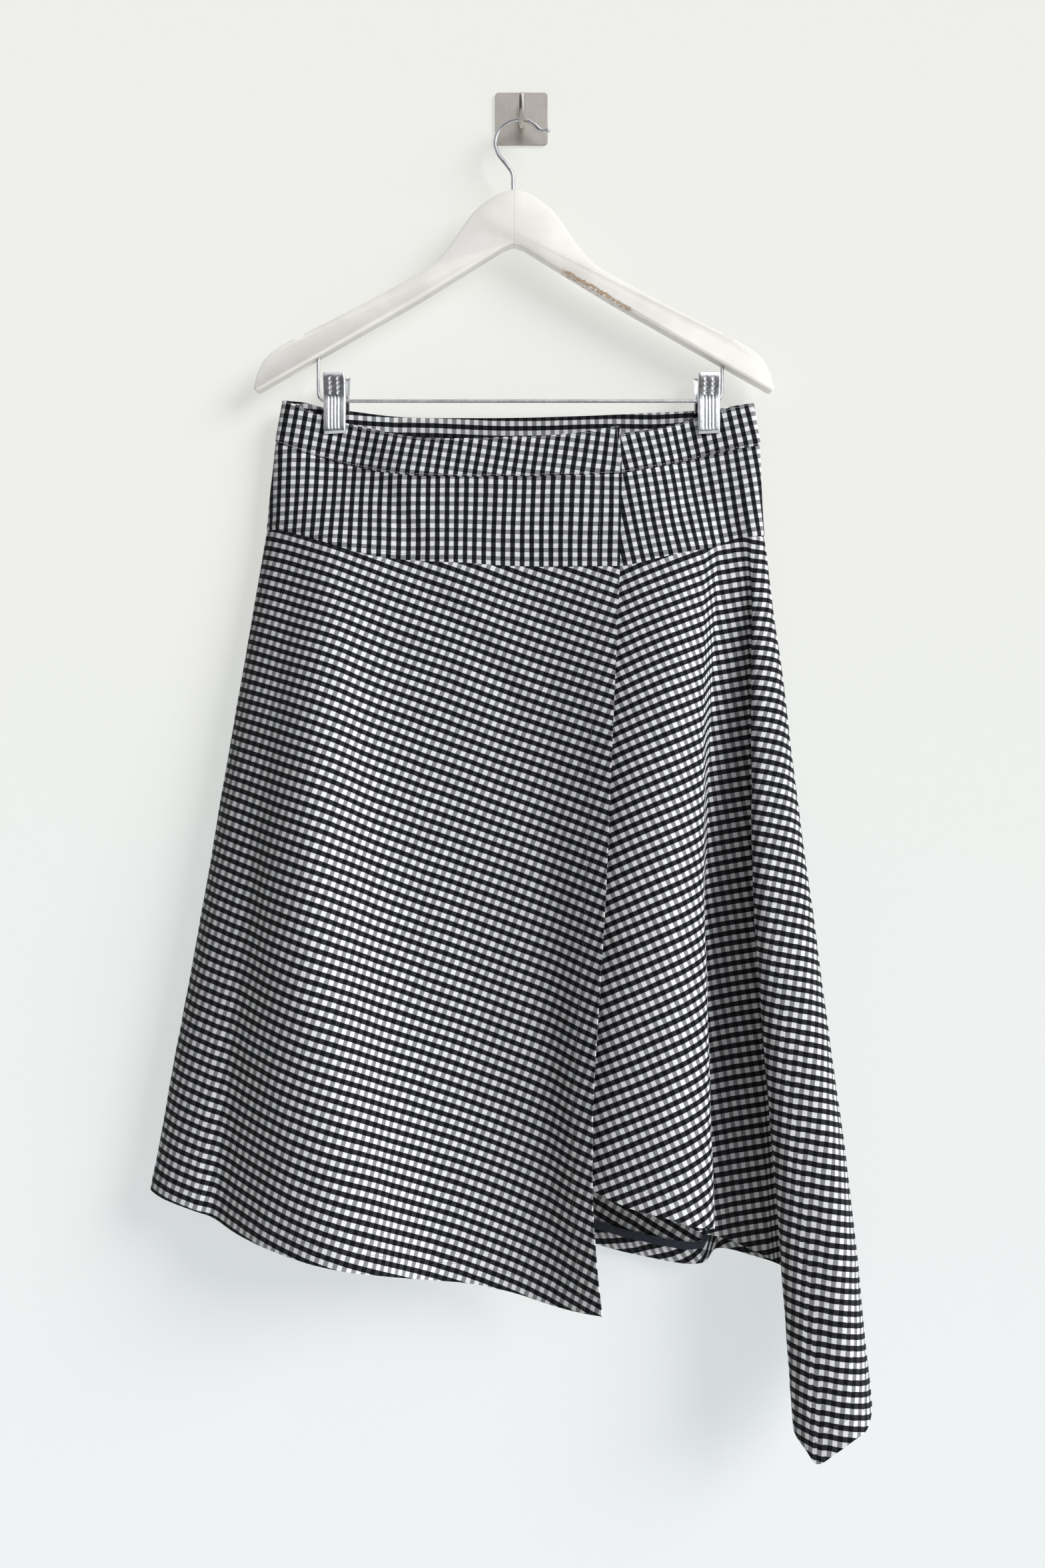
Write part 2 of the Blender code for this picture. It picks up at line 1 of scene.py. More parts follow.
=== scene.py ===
"""Looks of the gingham wrap skirt, its clip hanger and its wall hook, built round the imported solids.

The tables are in millimetres, in the frame of the solids: "across" is along X, "forward" is the distance
out from the wall, and "height" is along Z, so it is negative below the wall plate.
"""
import math

import bmesh
import bpy
import numpy as np
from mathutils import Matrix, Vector, noise


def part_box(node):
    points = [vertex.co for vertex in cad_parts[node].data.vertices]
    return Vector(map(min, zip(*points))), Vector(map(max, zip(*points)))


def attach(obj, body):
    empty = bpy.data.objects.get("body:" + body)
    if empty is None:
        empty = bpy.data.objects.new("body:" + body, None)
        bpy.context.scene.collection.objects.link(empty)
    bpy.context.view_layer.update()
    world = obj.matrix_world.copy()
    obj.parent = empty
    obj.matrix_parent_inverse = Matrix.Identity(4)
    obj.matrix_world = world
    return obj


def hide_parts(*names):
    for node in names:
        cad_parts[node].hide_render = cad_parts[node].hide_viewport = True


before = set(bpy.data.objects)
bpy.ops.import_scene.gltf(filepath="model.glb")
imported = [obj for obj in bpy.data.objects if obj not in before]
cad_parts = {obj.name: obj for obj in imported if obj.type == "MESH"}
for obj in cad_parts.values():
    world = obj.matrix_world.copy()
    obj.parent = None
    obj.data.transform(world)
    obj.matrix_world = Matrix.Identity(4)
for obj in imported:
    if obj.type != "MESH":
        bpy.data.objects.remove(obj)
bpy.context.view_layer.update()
MM = 0.001
TAU = 2 * math.pi

# Form of the cloth. These tables are the same as those of the solids.
FOLD_HEIGHTS = (-378.0, -645.0, -935.0, -1110.0)

# Left front, which lies on top. Name, height of its hem, then (across, forward) at each fold height.
OVER_FOLDS = (
    ("left side seam", -915, (-218, 11), (-260, 15), (-312, 23)),
    ("left edge", -916, (-220.5, 16), (-264.5, 24), (-315.5, 33)),
    ("side roll", -920, (-212.5, 25), (-255.5, 38), (-303, 45)),
    ("side crest", -928, (-198, 31), (-236, 51), (-272, 55)),
    ("side crease", -934, (-189, 34), (-222, 58), (-257, 52)),
    ("slope out", -943, (-179, 37), (-205, 71), (-233, 66)),
    ("shoulder", -950, (-169, 40), (-188, 81), (-204, 84)),
    ("main ridge", -957, (-159, 42), (-172, 86), (-171, 96)),
    ("ridge end", -963, (-146, 42), (-154, 81), (-144, 97)),
    ("slope in", -969, (-128, 42), (-134, 65), (-119, 88)),
    ("slope foot", -978, (-108, 41), (-115, 54), (-97, 69)),
    ("hollow start", -984, (-85, 40), (-90, 48.5), (-75, 57)),
    ("hollow", -989, (-50, 40), (-52, 46), (-42, 52)),
    ("hollow end", -996, (-12, 40), (-12, 46), (-7, 53)),
    ("wrap slope", -1002, (22, 41), (23, 52), (22, 61)),
    ("wrap roll", -1004, (52, 42), (48, 64), (42, 75), (56, 78)),
    ("wrap edge", -1003.5, (83, 43.5), (69.5, 74), (58.5, 84), (79, 89)),
)

# Back, from left to right. It starts and ends at the side seams of the two fronts.
BACK_FOLDS = (
    ("left turn", -909, (-210, 9), (-252.5, 9), (-302.5, 12)),
    ("left wave", -912, (-180, 9), (-222, 7), (-262, 8)),
    ("left hollow", -915, (-145, 10), (-178, 12), (-208, 17)),
    ("left back wave", -919, (-105, 10), (-128, 7), (-146, 8)),
    ("middle hollow", -930, (-60, 9), (-72, 11), (-82, 15)),
    ("middle wave", -948, (-10, 8), (-12, 7), (-14, 8)),
    ("right hollow", -963, (40, 8), (42, 10), (44, 13)),
    ("hem sweep", -979, (80, 9), (90, 7), (96, 9)),
    ("flute edge", -985, (114, 10), (130, 9), (151, 13)),
    ("behind the valley", -975, (132, 10), (150, 7), (165, 7)),
    ("valley back", -981, (154, 10), (176, 7), (196, 7)),
    ("tail back", -994, (174, 9), (200, 7), (226, 8)),
    ("tail turn", -1024, (190, 9), (222, 8), (252, 11), (257, 15)),
    ("right turn", -1052, (200, 10), (234, 13), (268, 21), (280, 29)),
)

# Right front, which lies beneath and drops into the tail, from its hidden edge to the right side seam.
UNDER_FOLDS = (
    ("hidden edge", -882, (10, 33), (2, 36), (-6, 40)),
    ("under the wrap", -894, (40, 34), (30, 41), (24, 48)),
    ("behind the edge", -904, (66, 36), (56, 52), (48, 62)),
    ("at the edge", -913, (88, 37.5), (78, 61), (69, 71)),
    ("bulge", -921, (106, 38), (99, 66), (92, 77)),
    ("bulge crest", -926, (122, 37.5), (118, 66), (116, 81)),
    ("bulge shoulder", -934, (137, 36), (136, 59), (139, 78)),
    ("bulge roll", -938, (149, 33), (148.5, 48), (154, 70)),
    ("bulge edge", -941, (157, 30), (153, 38), (158.5, 60)),
    ("fold behind", -946, (163, 27.5), (154, 29.5), (154, 48)),
    ("fold back", -951, (168, 25.5), (157, 23), (148, 35)),
    ("valley start", -956, (172, 24.5), (164, 19), (154, 25)),
    ("valley", -962, (177, 24), (177, 17.5), (174, 20)),
    ("valley floor", -973, (182, 24), (190, 17.5), (197, 19)),
    ("behind the tail", -985, (186, 24.2), (205, 19), (221, 21)),
    ("inner end", -1003, (189, 24.5), (217, 22), (243, 26)),
    ("inner turn", -1016, (191, 25), (222, 27), (252, 33), (256, 38)),
    ("return", -1032, (192.5, 25.6), (217, 32), (244, 41), (249, 47)),
    ("return end", -1062, (194, 26), (204, 36), (226, 47), (234, 54)),
    ("tail fold", -1090, (195.5, 26), (195.5, 41), (214.5, 54), (225.5, 62)),
    ("tail edge", -1104, (197.5, 26), (193, 47), (211.5, 62), (223.5, 70)),
    ("tail front", -1114, (199.5, 25.6), (197, 53), (219, 71), (230, 79)),
    ("tail point", -1124, (201.5, 25), (203, 55), (229, 74), (238, 82)),
    ("tail face", -1115, (203.5, 24), (212, 55), (243, 76), (252.5, 84.5)),
    ("tail crest", -1104, (205.5, 22.6), (224, 53), (258.5, 76), (269.5, 83.5)),
    ("tail strip", -1099, (207.2, 20.6), (233, 46), (268.5, 67), (281.5, 75)),
    ("right edge", -1084, (208.5, 18), (239.2, 36), (274.7, 52), (290, 61)),
    ("right side seam", -1066, (207.5, 14), (239, 25), (274.5, 38), (289, 46)),
)

# Seam between yoke and lower panel, as (across, height).
YOKE_SEAM = {
    "over": ((-216, -359), (-203, -361), (-174, -370), (-136, -382), (-102, -387.5),
             (-46, -390), (4, -393.5), (83, -393.5)),
    "back": ((-216, -359), (-150, -377), (-60, -386), (60, -387), (150, -378), (208, -364)),
    "under": ((10, -394), (88, -392), (112, -386.5), (132, -381.5), (162, -375), (181, -367), (208, -364)),
}

# Top edge of the waistband, as (across, forward, height).
WAIST_TOP = {
    "over": ((-199.5, 14.2, -247.4), (-202.6, 17, -247.6), (-190, 19.8, -253), (-169, 20.4, -262),
             (-150, 20.6, -268), (-112, 25.5, -277.5), (-80, 29.5, -283), (-15, 32.5, -283),
             (44, 33, -280), (82.5, 32.5, -273)),
    "back": ((-186, 15.2, -249), (-170, 16.3, -253.5), (-144, 16.3, -257), (-104, 13.5, -261),
             (-47, 12, -261.5), (10, 12, -261), (72, 12.5, -259), (118, 13.5, -257), (146, 16.3, -256.5),
             (172, 16.3, -254), (186, 15.6, -251.3)),
    "under": ((10, 27.5, -283), (60, 27.5, -281), (89, 27, -278), (112, 24.5, -274.3), (134, 21, -268.5),
              (150, 20.3, -263), (168, 20.3, -257.5), (186, 19, -252.5), (197.3, 16.8, -250.2),
              (195.5, 14.6, -250.2)),
}

# Seam between waistband and yoke, as (across, forward, height).
WAIST_SEAM = {
    "over": ((-206.4, 13.2, -283.6), (-209.3, 17, -283.5), (-197, 20.4, -288.5), (-167, 20.9, -298.3),
             (-148, 22, -304), (-103, 33, -314.2), (-74, 36, -316.4), (4, 37, -316.6),
             (58, 36.6, -315.2), (84.5, 36, -314.4)),
    "back": ((-192, 14, -286), (-172, 16, -288.5), (-144, 16, -292), (-104, 11.5, -297.5), (-47, 10.5, -298),
             (10, 10.5, -297.5), (72, 11, -296), (118, 12, -294), (147, 16, -292), (176, 16, -289.5),
             (190, 14, -287.8)),
    "under": ((12, 31, -316.5), (62, 31, -315), (88, 31, -312.4), (113, 27.5, -307.2), (138, 22, -301.2),
              (151, 20.6, -297.8), (174, 20.6, -292), (192, 20, -288.5), (203.2, 17.6, -286.3),
              (201.4, 14, -286.3)),
}
RAIL_STEPS = 6

# Fineness of the cloth: columns between two stations, and distances of the rows from a layer's edges.
STEPS = 6
EDGE_ROWS = (0.0, 0.5, 1.1, 2.0, 3.4, 5.4)
LAYER_LENGTHS = {"waistband": 36.0, "yoke": 78.0, "panel": 560.0}
LAYER_ROWS = {"waistband": 8, "yoke": 16, "panel": 92}
CLOTH_THICK = 0.75
BAND_THICK = 1.9
BAND_PROUD = 0.4          # how far the waistband stands out from the yoke
HEM_TALL = {"over": 15.0, "under": 17.0}
HEM_THICK = 0.5           # added by the doubled cloth of a hem
TURN_UP_TALL = 19.0       # the back's hem, whose turned-up cloth is a piece of its own
TURN_UP_THICK = 0.6
TURN_UP_LIFT = 0.35
FACING_WIDE = 17.7        # doubled cloth along the wrap edge
FACING_THICK = 0.5
SEAM_DIP, SEAM_WIDE = 0.55, 1.5
ALLOWANCE_TALL, ALLOWANCE_THICK = 5.0, 0.35   # the layers folded up behind the yoke's lower edge
PUCKER_DEEP, PUCKER_REACH = 0.3, 9.0
BAND_SWELL = 0.35         # share of the cloth's unevenness that the stiffer waistband has
BAND_EDGE = 0.12          # how far its rounded edges thin out, as a share of its thickness squared

# Depth of the cloth's slow and quick unevenness, and how fine each is.
UNEVEN = ((0.9, 0.016), (0.3, 0.05))

# Creases placed one by one. Piece, width, depth (below 0 for a trough), then its path as (across, height).
CREASES = (
    ("panel_over", 9, -1.7, (-92, -400), (-62, -425), (-26, -472), (2, -530)),
    ("panel_over", 8, 1.1, (-80, -396), (-45, -426), (-12, -466), (14, -515)),
    ("panel_over", 7, -0.9, (-58, -396), (-30, -424), (4, -462), (30, -500)),
    ("panel_over", 6, -0.7, (-30, -397), (5, -428), (40, -470)),
    ("panel_over", 7, 0.7, (-112, -396), (-92, -428), (-70, -480)),
    ("panel_over", 11, 1.2, (-150, -420), (-142, -560), (-130, -700)),
    ("panel_over", 9, -1.1, (-235, -560), (-222, -660), (-216, -770)),
    ("panel_over", 12, -1.3, (-62, -610), (-42, -740), (-48, -890)),
    ("panel_over", 10, 0.9, (8, -590), (-6, -720), (2, -860)),
    ("panel_over", 8, -0.8, (42, -420), (50, -550), (44, -700)),
    ("panel_over", 7, 0.8, (-204, -790), (-190, -850), (-180, -930)),
    ("panel_over", 8, -0.9, (-118, -760), (-104, -850), (-108, -960)),
    ("yoke_over", 8, -1.1, (-131, -306), (-110, -338), (-85, -384)),
    ("yoke_over", 7, 0.8, (-114, -310), (-92, -338), (-66, -384)),
    ("yoke_over", 7, -0.6, (-172, -298), (-162, -333), (-148, -372)),
    ("yoke_over", 9, 0.7, (18, -316), (34, -348), (30, -390)),
    ("yoke_over", 8, -0.6, (-44, -318), (-30, -346), (-34, -388)),
    ("waistband_over", 4, -0.6, (-72, -288), (-56, -298), (-44, -313)),
    ("waistband_over", 4, 0.5, (-60, -286), (-46, -298), (-34, -314)),
    ("waistband_over", 5, -0.6, (-150, -268), (-134, -282), (-120, -304)),
    ("waistband_over", 5, -0.4, (40, -282), (52, -296), (50, -314)),
    ("yoke_under", 7, -0.9, (150, -300), (140, -335), (122, -378)),
    ("yoke_under", 7, 0.7, (174, -294), (166, -328), (156, -370)),
    ("yoke_under", 6, -0.5, (104, -312), (108, -346), (100, -384)),
    ("waistband_under", 5, -0.5, (152, -264), (140, -280), (128, -300)),
    ("panel_under", 8, -1.0, (160, -380), (151, -430), (146, -500)),
    ("panel_under", 8, 0.9, (120, -400), (125, -520), (121, -640)),
    ("panel_under", 7, -0.8, (101, -640), (108, -740), (104, -860)),
    ("panel_under", 8, -1.1, (206, -600), (234, -740), (262, -900)),
    ("panel_under", 7, 0.8, (214, -540), (232, -640), (250, -740)),
    ("panel_under", 7, -0.9, (216, -880), (226, -970), (232, -1060)),
    ("panel_under", 6, 0.8, (236, -860), (248, -950), (254, -1040)),
    ("yoke_back", 8, -0.9, (-144, -296), (-120, -330), (-96, -378)),
    ("yoke_back", 8, 0.8, (120, -298), (104, -332), (96, -378)),
    ("yoke_back", 9, -0.7, (0, -304), (-8, -342), (4, -384)),
    ("waistband_back", 5, -0.5, (-122, -260), (-112, -278), (-106, -296)),
    ("waistband_back", 5, 0.5, (60, -260), (72, -278), (66, -296)),
    ("panel_back", 12, -1.4, (-120, -400), (-136, -560), (-150, -760)),
    ("panel_back", 10, 1.1, (-40, -395), (-30, -560), (-38, -720)),
    ("panel_back", 11, -1.2, (60, -395), (74, -560), (70, -800)),
    ("panel_back", 9, 1.0, (150, -420), (170, -600), (190, -800)),
    ("panel_back", 8, -0.9, (-198, -600), (-230, -760), (-250, -880)),
    ("panel_back", 10, 1.0, (-90, -700), (-96, -820), (-88, -910)),
    ("panel_back", 9, -1.0, (0, -640), (10, -780), (4, -930)),
    ("panel_back", 8, 0.9, (110, -700), (120, -840), (128, -960)),
)
CREASE_STEPS = 12

# Rows of stitches: piece, edge that they follow, distance in from it, and thread.
STITCH_ROWS = (
    ("waistband_over", "top", 1.8, "pale"), ("waistband_over", "bottom", 1.5, "pale"),
    ("waistband_over", "first", 2.2, "pale"),
    ("waistband_back", "top", 1.8, "pale"), ("waistband_back", "bottom", 1.5, "pale"),
    ("waistband_under", "top", 1.8, "pale"), ("waistband_under", "bottom", 1.5, "pale"),
    ("yoke_over", "bottom", ALLOWANCE_TALL, "dark"), ("yoke_back", "bottom", ALLOWANCE_TALL, "dark"),
    ("yoke_under", "bottom", ALLOWANCE_TALL, "dark"),
    ("yoke_over", "first", FACING_WIDE, "grey"), ("panel_over", "first", FACING_WIDE, "grey"),
    ("panel_over", "bottom", HEM_TALL["over"], "dark"), ("panel_under", "bottom", HEM_TALL["under"], "dark"),
    ("panel_back", "bottom", TURN_UP_TALL - 1.5, "dark"),
)
STITCH_PITCH, STITCH_SHARE, STITCH_RADIUS = 2.6, 0.66, 0.16
STEEPEST = 2.2            # a row of stitches stands at most this many times its distance up a slanted edge

# Overlocked edge of the turn-up.
OVERLOCK_TALL, OVERLOCK_PITCH, OVERLOCK_RADIUS = 6.0, 2.0, 0.26
OVERLOCK_PAST = 0.3       # how far its loops reach past the raw edge
OVERLOCK_LIFT = 0.42      # height of the threads' middle over the cloth
BED_LIFT, BED_THICK = 0.18, 0.12
CORNER_LOOP_RADIUS, CORNER_LOOP_THREAD = 1.7, 0.42

# Hardware, with the sizes and routes of the solids.
PLATE_SIDE, PLATE_THICK, PLATE_CORNER, PLATE_ROUNDING = 45.5, 1.5, 3.2, 0.35
PRONG_DIAMETER, HOOK_WIRE, BAR_WIRE = 5.2, 3.4, 3.0
HANG_FORWARD = 18.5
WALL_HOOK_ROUTE = ((1.8, 11.5), (3.4, 11.5), (6, 9.6), (7.6, 4), (10, -5.5), (14, -11.9), (18.5, -13.8),
                   (23.5, -12), (28, -6.5), (31, 0.5), (33, 7.5))
HANGER_HOOK_ROUTE = ((-6.9, -78), (-7.2, -66), (-7.8, -55), (-11.5, -48.5), (-19.6, -37.2), (-22.4, -27),
                     (-19.8, -17.5), (-13, -11.3), (-5, -8.9), (3.5, -9.2), (11.5, -14.2), (17, -19.4),
                     (23, -19.8))
HOOK_TURN, HOOK_REACH, TURN_FOOT, TURN_FULL = 4.0, 23.0, -60.0, -30.0
TIP_BALL = 2.1
BAR_HEIGHT, BAR_BEND, BAR_ENDS = -248.7, 7.0, ((-173.2, -206.0), (171.0, -203.0))
CLIPS = (("left", -158.7), ("right", 159.4))
CLIP_WIDE, JAW_SHIFT = 17.6, 2.2
JAW_SHEET = 0.8           # thickness of the pressed steel
JAW_PROFILE = ((21.5, 27.2), (19.5, 27.6), (8, 24.8), (2, 23.6), (-6, 23.7), (-14, 23.9), (-24, 23.6),
               (-28.5, 22.9))       # (height from the bar, forward)
JAW_FLANGE = ((21.5, 1.2), (10, 2.6), (0, 4.6), (-10, 3.0), (-28.5, 1.0))   # (height, depth of its sides)
JAW_ROWS, JAW_COLUMNS, JAW_ROUNDING = 84, 57, 0.9
JAW_LIP = 0.5             # how far its lowest edge is bent in
DIMPLE_ROWS, DIMPLE_ACROSS, DIMPLE_DEEP, DIMPLE_SIZE = (17.0, 13.3, 9.6, 5.9), 3.3, 0.5, 1.25
FLUTES, FLUTE_SPAN, FLUTE_DEEP = 4, 11.3, 0.42
COIL_RADIUS, COIL_WIRE, COIL_TURNS, COIL_LONG = 3.7, 1.0, 8, 8.4

# Threads of the gingham: repeat of the strong stripes and of the weaker ones that cross them.
STRONG_REPEAT = 8.05
CROSS_REPEAT = 7.65
# Share by which the checks grow for each millimetre down the lower panels.
GROWTH = {"over": 1.0e-4, "back": 1.0e-4, "under": 1.6e-4}

# How each piece is cut from the gingham: whether its strong stripes run down or across, and the angle
# by which they turn clockwise on the outside, in degrees.
CUT_ANGLES = {
    "waistband_over": ("down", 3.0), "waistband_under": ("down", -5.0), "waistband_back": ("across", 0.0),
    "yoke_over": ("down", -6.0), "yoke_under": ("down", -7.0), "yoke_back": ("down", 0.0),
    "panel_over": ("across", 12.5), "panel_under": ("across", -10.0), "panel_back": ("across", -30.0),
}
# The right front flares more than its folds show: its threads turn on by this angle towards the tail. The
# share of the turn that is reached at each station, and the station where they pivot.
TAIL_TURN = 19.0
TAIL_SHARES = (("hidden edge", 0.0), ("bulge edge", 0.0), ("fold back", 0.4), ("behind the tail", 0.4),
               ("return end", 1.0), ("right side seam", 1.0))
TAIL_PIVOT = "inner end"
WOBBLE = {"waistband": 1.4, "yoke": 1.4, "panel": 0.7}   # how far the threads stray, in millimetres
WOBBLE_FINENESS, WOBBLE_SEED = 0.018, 5

# Coarse grid that is laid flat: its columns between two stations, its rows, and the rounds that settle it.
FLAT_STEPS, FLAT_ROUNDS = 2, 240
FLAT_ROWS = {"waistband": 4, "yoke": 5, "panel": 14}


def smooth_path(stations, steps):
    """Points along a smooth curve through the stations, with `steps` to each stretch between two of them."""
    points = np.asarray(stations, float)
    knots = np.vstack([2 * points[0] - points[1], points, 2 * points[-1] - points[-2]])
    times = np.concatenate([[0], np.cumsum(np.sqrt(np.linalg.norm(np.diff(knots, axis=0), axis=1)))])
    path = []
    for i in range(1, len(knots) - 2):
        p0, p1, p2, p3 = knots[i - 1:i + 3]
        t0, t1, t2, t3 = times[i - 1:i + 3]
        for t in np.linspace(t1, t2, steps, endpoint=False):
            a = ((t1 - t) * p0 + (t - t0) * p1) / (t1 - t0)
            b = ((t2 - t) * p1 + (t - t1) * p2) / (t2 - t1)
            c = ((t3 - t) * p2 + (t - t2) * p3) / (t3 - t2)
            d = ((t2 - t) * a + (t - t0) * b) / (t2 - t0)
            e = ((t3 - t) * b + (t - t1) * c) / (t3 - t1)
            path.append(((t2 - t) * d + (t - t1) * e) / (t2 - t1))
    path.append(points[-1])
    return np.array(path)


def lengths(grid, axis):
    """Distance of each point of a grid from its first row or column, measured along the cloth."""
    steps = np.linalg.norm(np.diff(grid, axis=axis), axis=2)
    start = np.zeros_like(np.take(steps, [0], axis=axis))
    return np.concatenate([start, np.cumsum(steps, axis=axis)], axis=axis)


def distances(path):
    """Distance of each point of a path from its start."""
    return np.concatenate([[0], np.cumsum(np.linalg.norm(np.diff(path, axis=0), axis=1))])


def places_at(wanted, along, path):
    """Points of a path at some of the distances along it."""
    return np.stack([np.interp(wanted, along, path[:, k]) for k in range(path.shape[1])], axis=1)


def fractions(path):
    along = distances(path)
    return along / along[-1]


def resample(path, wanted):
    return places_at(wanted, fractions(path), path)


def blend_heights(places, height):
    """The value at a height of a smooth curve through the places, which stand at the first fold heights."""
    heights = np.array(FOLD_HEIGHTS[:len(places)])
    places = np.asarray(places, float)
    slopes = np.gradient(places, heights, axis=0)
    if height >= heights[0]:
        return places[0] + slopes[0] * (height - heights[0])
    if height <= heights[-1]:
        return places[-1] + slopes[-1] * (height - heights[-1])
    i = int(np.searchsorted(-heights, -height)) - 1
    span = heights[i + 1] - heights[i]
    t = (height - heights[i]) / span
    return ((2 * t**3 - 3 * t**2 + 1) * places[i] + (t**3 - 2 * t**2 + t) * span * slopes[i]
            + (3 * t**2 - 2 * t**3) * places[i + 1] + (t**3 - t**2) * span * slopes[i + 1])


def seam_height(piece, across):
    table = np.array(YOKE_SEAM[piece], float)
    return float(np.interp(across, table[:, 0], table[:, 1]))


def panel_rows(levels, steps):
    """Rows of points of the lower panels round the strip, and the columns of its two side seams."""
    over = [("over", *row) for row in reversed(OVER_FOLDS)]
    back = [("back", *row) for row in BACK_FOLDS]
    under = [("under", *row) for row in reversed(UNDER_FOLDS)]
    rows = []
    for level in levels:
        places = []
        for piece, _, hem, *folds in over + back + under:
            top = seam_height(piece, folds[0][0])
            height = top + (hem - top) * level
            places.append((*blend_heights(folds, height), height))
        rows.append(smooth_path(places, steps))
    return np.array(rows), (len(over) - 1) * steps, (len(over) + len(back)) * steps


def waist_row(tables, spans, yoke_row):
    """A row of the waist: each piece's own curve, with its columns spaced as they are along the yoke seam."""
    over = list(reversed(tables["over"]))
    under = list(reversed(tables["under"]))
    back = [over[-1], *tables["back"], under[0]]
    columns = []
    for rail, (start, end) in zip((over, back, under), spans):
        points = resample(smooth_path(rail, RAIL_STEPS), fractions(yoke_row[start:end + 1]))
        columns.append(points if start == 0 else points[1:])
    return np.vstack(columns)


def row_levels(length, count):
    """Levels from 0 to 1 down a layer of the given length, crowded towards its two edges."""
    edge = np.array(EDGE_ROWS) / length
    inner = np.linspace(edge[-1], 1 - edge[-1], count)
    return np.concatenate([edge[:-1], inner, 1 - edge[-2::-1]])


def cloth_layers(steps, band_levels, yoke_levels, panel_levels):
    """The layers of the strip, each with its grid of points in millimetres and their outward directions."""
    panels, left, right = panel_rows(panel_levels, steps)
    spans = ((0, left), (left, right), (right, panels.shape[1] - 1))
    top = waist_row(WAIST_TOP, spans, panels[0])
    seam = waist_row(WAIST_SEAM, spans, panels[0])
    band = [top + (seam - top) * t for t in band_levels]
    yoke = [seam + (panels[0] - seam) * t for t in yoke_levels]
    points = np.array([*band, *yoke[1:], *panels[1:]])
    points = np.stack([points[..., 0], -points[..., 1], points[..., 2]], axis=2)
    along = np.gradient(points, axis=1)
    down = np.gradient(points, axis=0)
    outward = np.cross(along, down)
    outward /= np.linalg.norm(outward, axis=2, keepdims=True)
    seam_row, hip_row = len(band) - 1, len(band) + len(yoke) - 2
    cuts = {"waistband": (0, seam_row), "yoke": (seam_row, hip_row), "panel": (hip_row, len(points) - 1)}
    made = {}
    for layer, (first, last) in cuts.items():
        for piece, (start, end) in zip(("over", "back", "under"), spans):
            part = np.s_[first:last + 1, start:end + 1]
            made[f"{layer}_{piece}"] = (points[part].copy(), outward[part].copy())
    return made


def laid_flat(grid):
    """A grid of cloth laid flat, seen from outside with x to the right and y down, in millimetres.

    Each point pulls on its neighbours until all the distances between them are those of the hung cloth.
    """
    rows, columns = grid.shape[:2]
    index = np.arange(rows * columns).reshape(rows, columns)
    pairs = np.vstack([np.stack([a.ravel(), b.ravel()], axis=1) for a, b in (
        (index[:, :-1], index[:, 1:]), (index[:-1], index[1:]),
        (index[:-1, :-1], index[1:, 1:]), (index[:-1, 1:], index[1:, :-1]))])
    one, two = pairs.T
    place = grid.reshape(-1, 3)
    wanted = np.linalg.norm(place[one] - place[two], axis=1)
    weight = wanted ** -2
    pull = np.zeros((len(place), len(place)))
    np.add.at(pull, (one, one), weight)
    np.add.at(pull, (two, two), weight)
    np.add.at(pull, (one, two), -weight)
    np.add.at(pull, (two, one), -weight)
    pull[0, 0] += 1.0
    solve = np.linalg.inv(pull)
    across = lengths(grid, 1)
    across -= across[:, -1:] / 2
    flat = np.stack([-across, lengths(grid, 0)], axis=2).reshape(-1, 2)
    for _ in range(FLAT_ROUNDS):
        step = flat[one] - flat[two]
        aim = step * (weight * wanted / np.maximum(np.linalg.norm(step, axis=1), 1e-6))[:, None]
        force = np.zeros_like(flat)
        np.add.at(force, one, aim)
        np.add.at(force, two, -aim)
        flat = solve @ force
    return flat.reshape(rows, columns, 2)


def spread_out(coarse, coarse_levels, levels, columns):
    """A coarse grid's values at finer rows and columns."""
    at = np.linspace(0, 1, coarse.shape[1])
    wide = np.stack([[np.interp(np.linspace(0, 1, columns), at, row[:, k]) for row in coarse]
                     for k in range(coarse.shape[2])], axis=2)
    return np.stack([[np.interp(levels, coarse_levels, wide[:, c, k]) for c in range(columns)]
                     for k in range(coarse.shape[2])], axis=2).transpose(1, 0, 2)


def station_column(name, columns):
    """The column of the right front's panel that stands on a named station."""
    names = [row[0] for row in reversed(UNDER_FOLDS)]
    return round((names.index(name) + 1) / len(names) * (columns - 1))


def turned(flat, angle):
    """Flat places along and across threads that are turned clockwise by an angle."""
    turn = math.radians(angle)
    cosine, sine = math.cos(turn), math.sin(turn)
    x, y = flat[..., 0], flat[..., 1]
    return np.stack([x * cosine + y * sine, y * cosine - x * sine], axis=-1)


def threads_of(name, flat, start=None):
    """Where each point lies across the strong stripes and across the weaker ones, in repeats."""
    run, angle = CUT_ANGLES[name]
    columns = flat.shape[1]
    place = flat - (flat[0, columns // 2] if start is None else start)
    if name.startswith("panel"):
        grow = GROWTH[name.split("_")[1]]
        place = np.stack([place[..., 0], place[..., 1] - grow * place[..., 1] ** 2 / 2], axis=2)
    laid = turned(place, angle)
    if name == "panel_under":
        pivot = place[0, station_column(TAIL_PIVOT, columns)]
        further = turned(place - pivot, angle + TAIL_TURN) + turned(pivot, angle)
        at, shares = zip(*sorted((station_column(station, columns), share) for station, share in TAIL_SHARES))
        share = np.interp(np.arange(columns), at, shares)[None, :, None]
        laid = laid * (1 - share) + further * share
    for index in np.ndindex(laid.shape[:2]):
        spot = Vector((*flat[index], 0.0)) * WOBBLE_FINENESS
        laid[index] += WOBBLE[name.split("_")[0]] * np.array(noise.noise_vector(spot))[:2]
    strong, weak = (laid[..., 0], laid[..., 1]) if run == "down" else (laid[..., 1], laid[..., 0])
    return np.stack([strong / STRONG_REPEAT, weak / CROSS_REPEAT], axis=2)


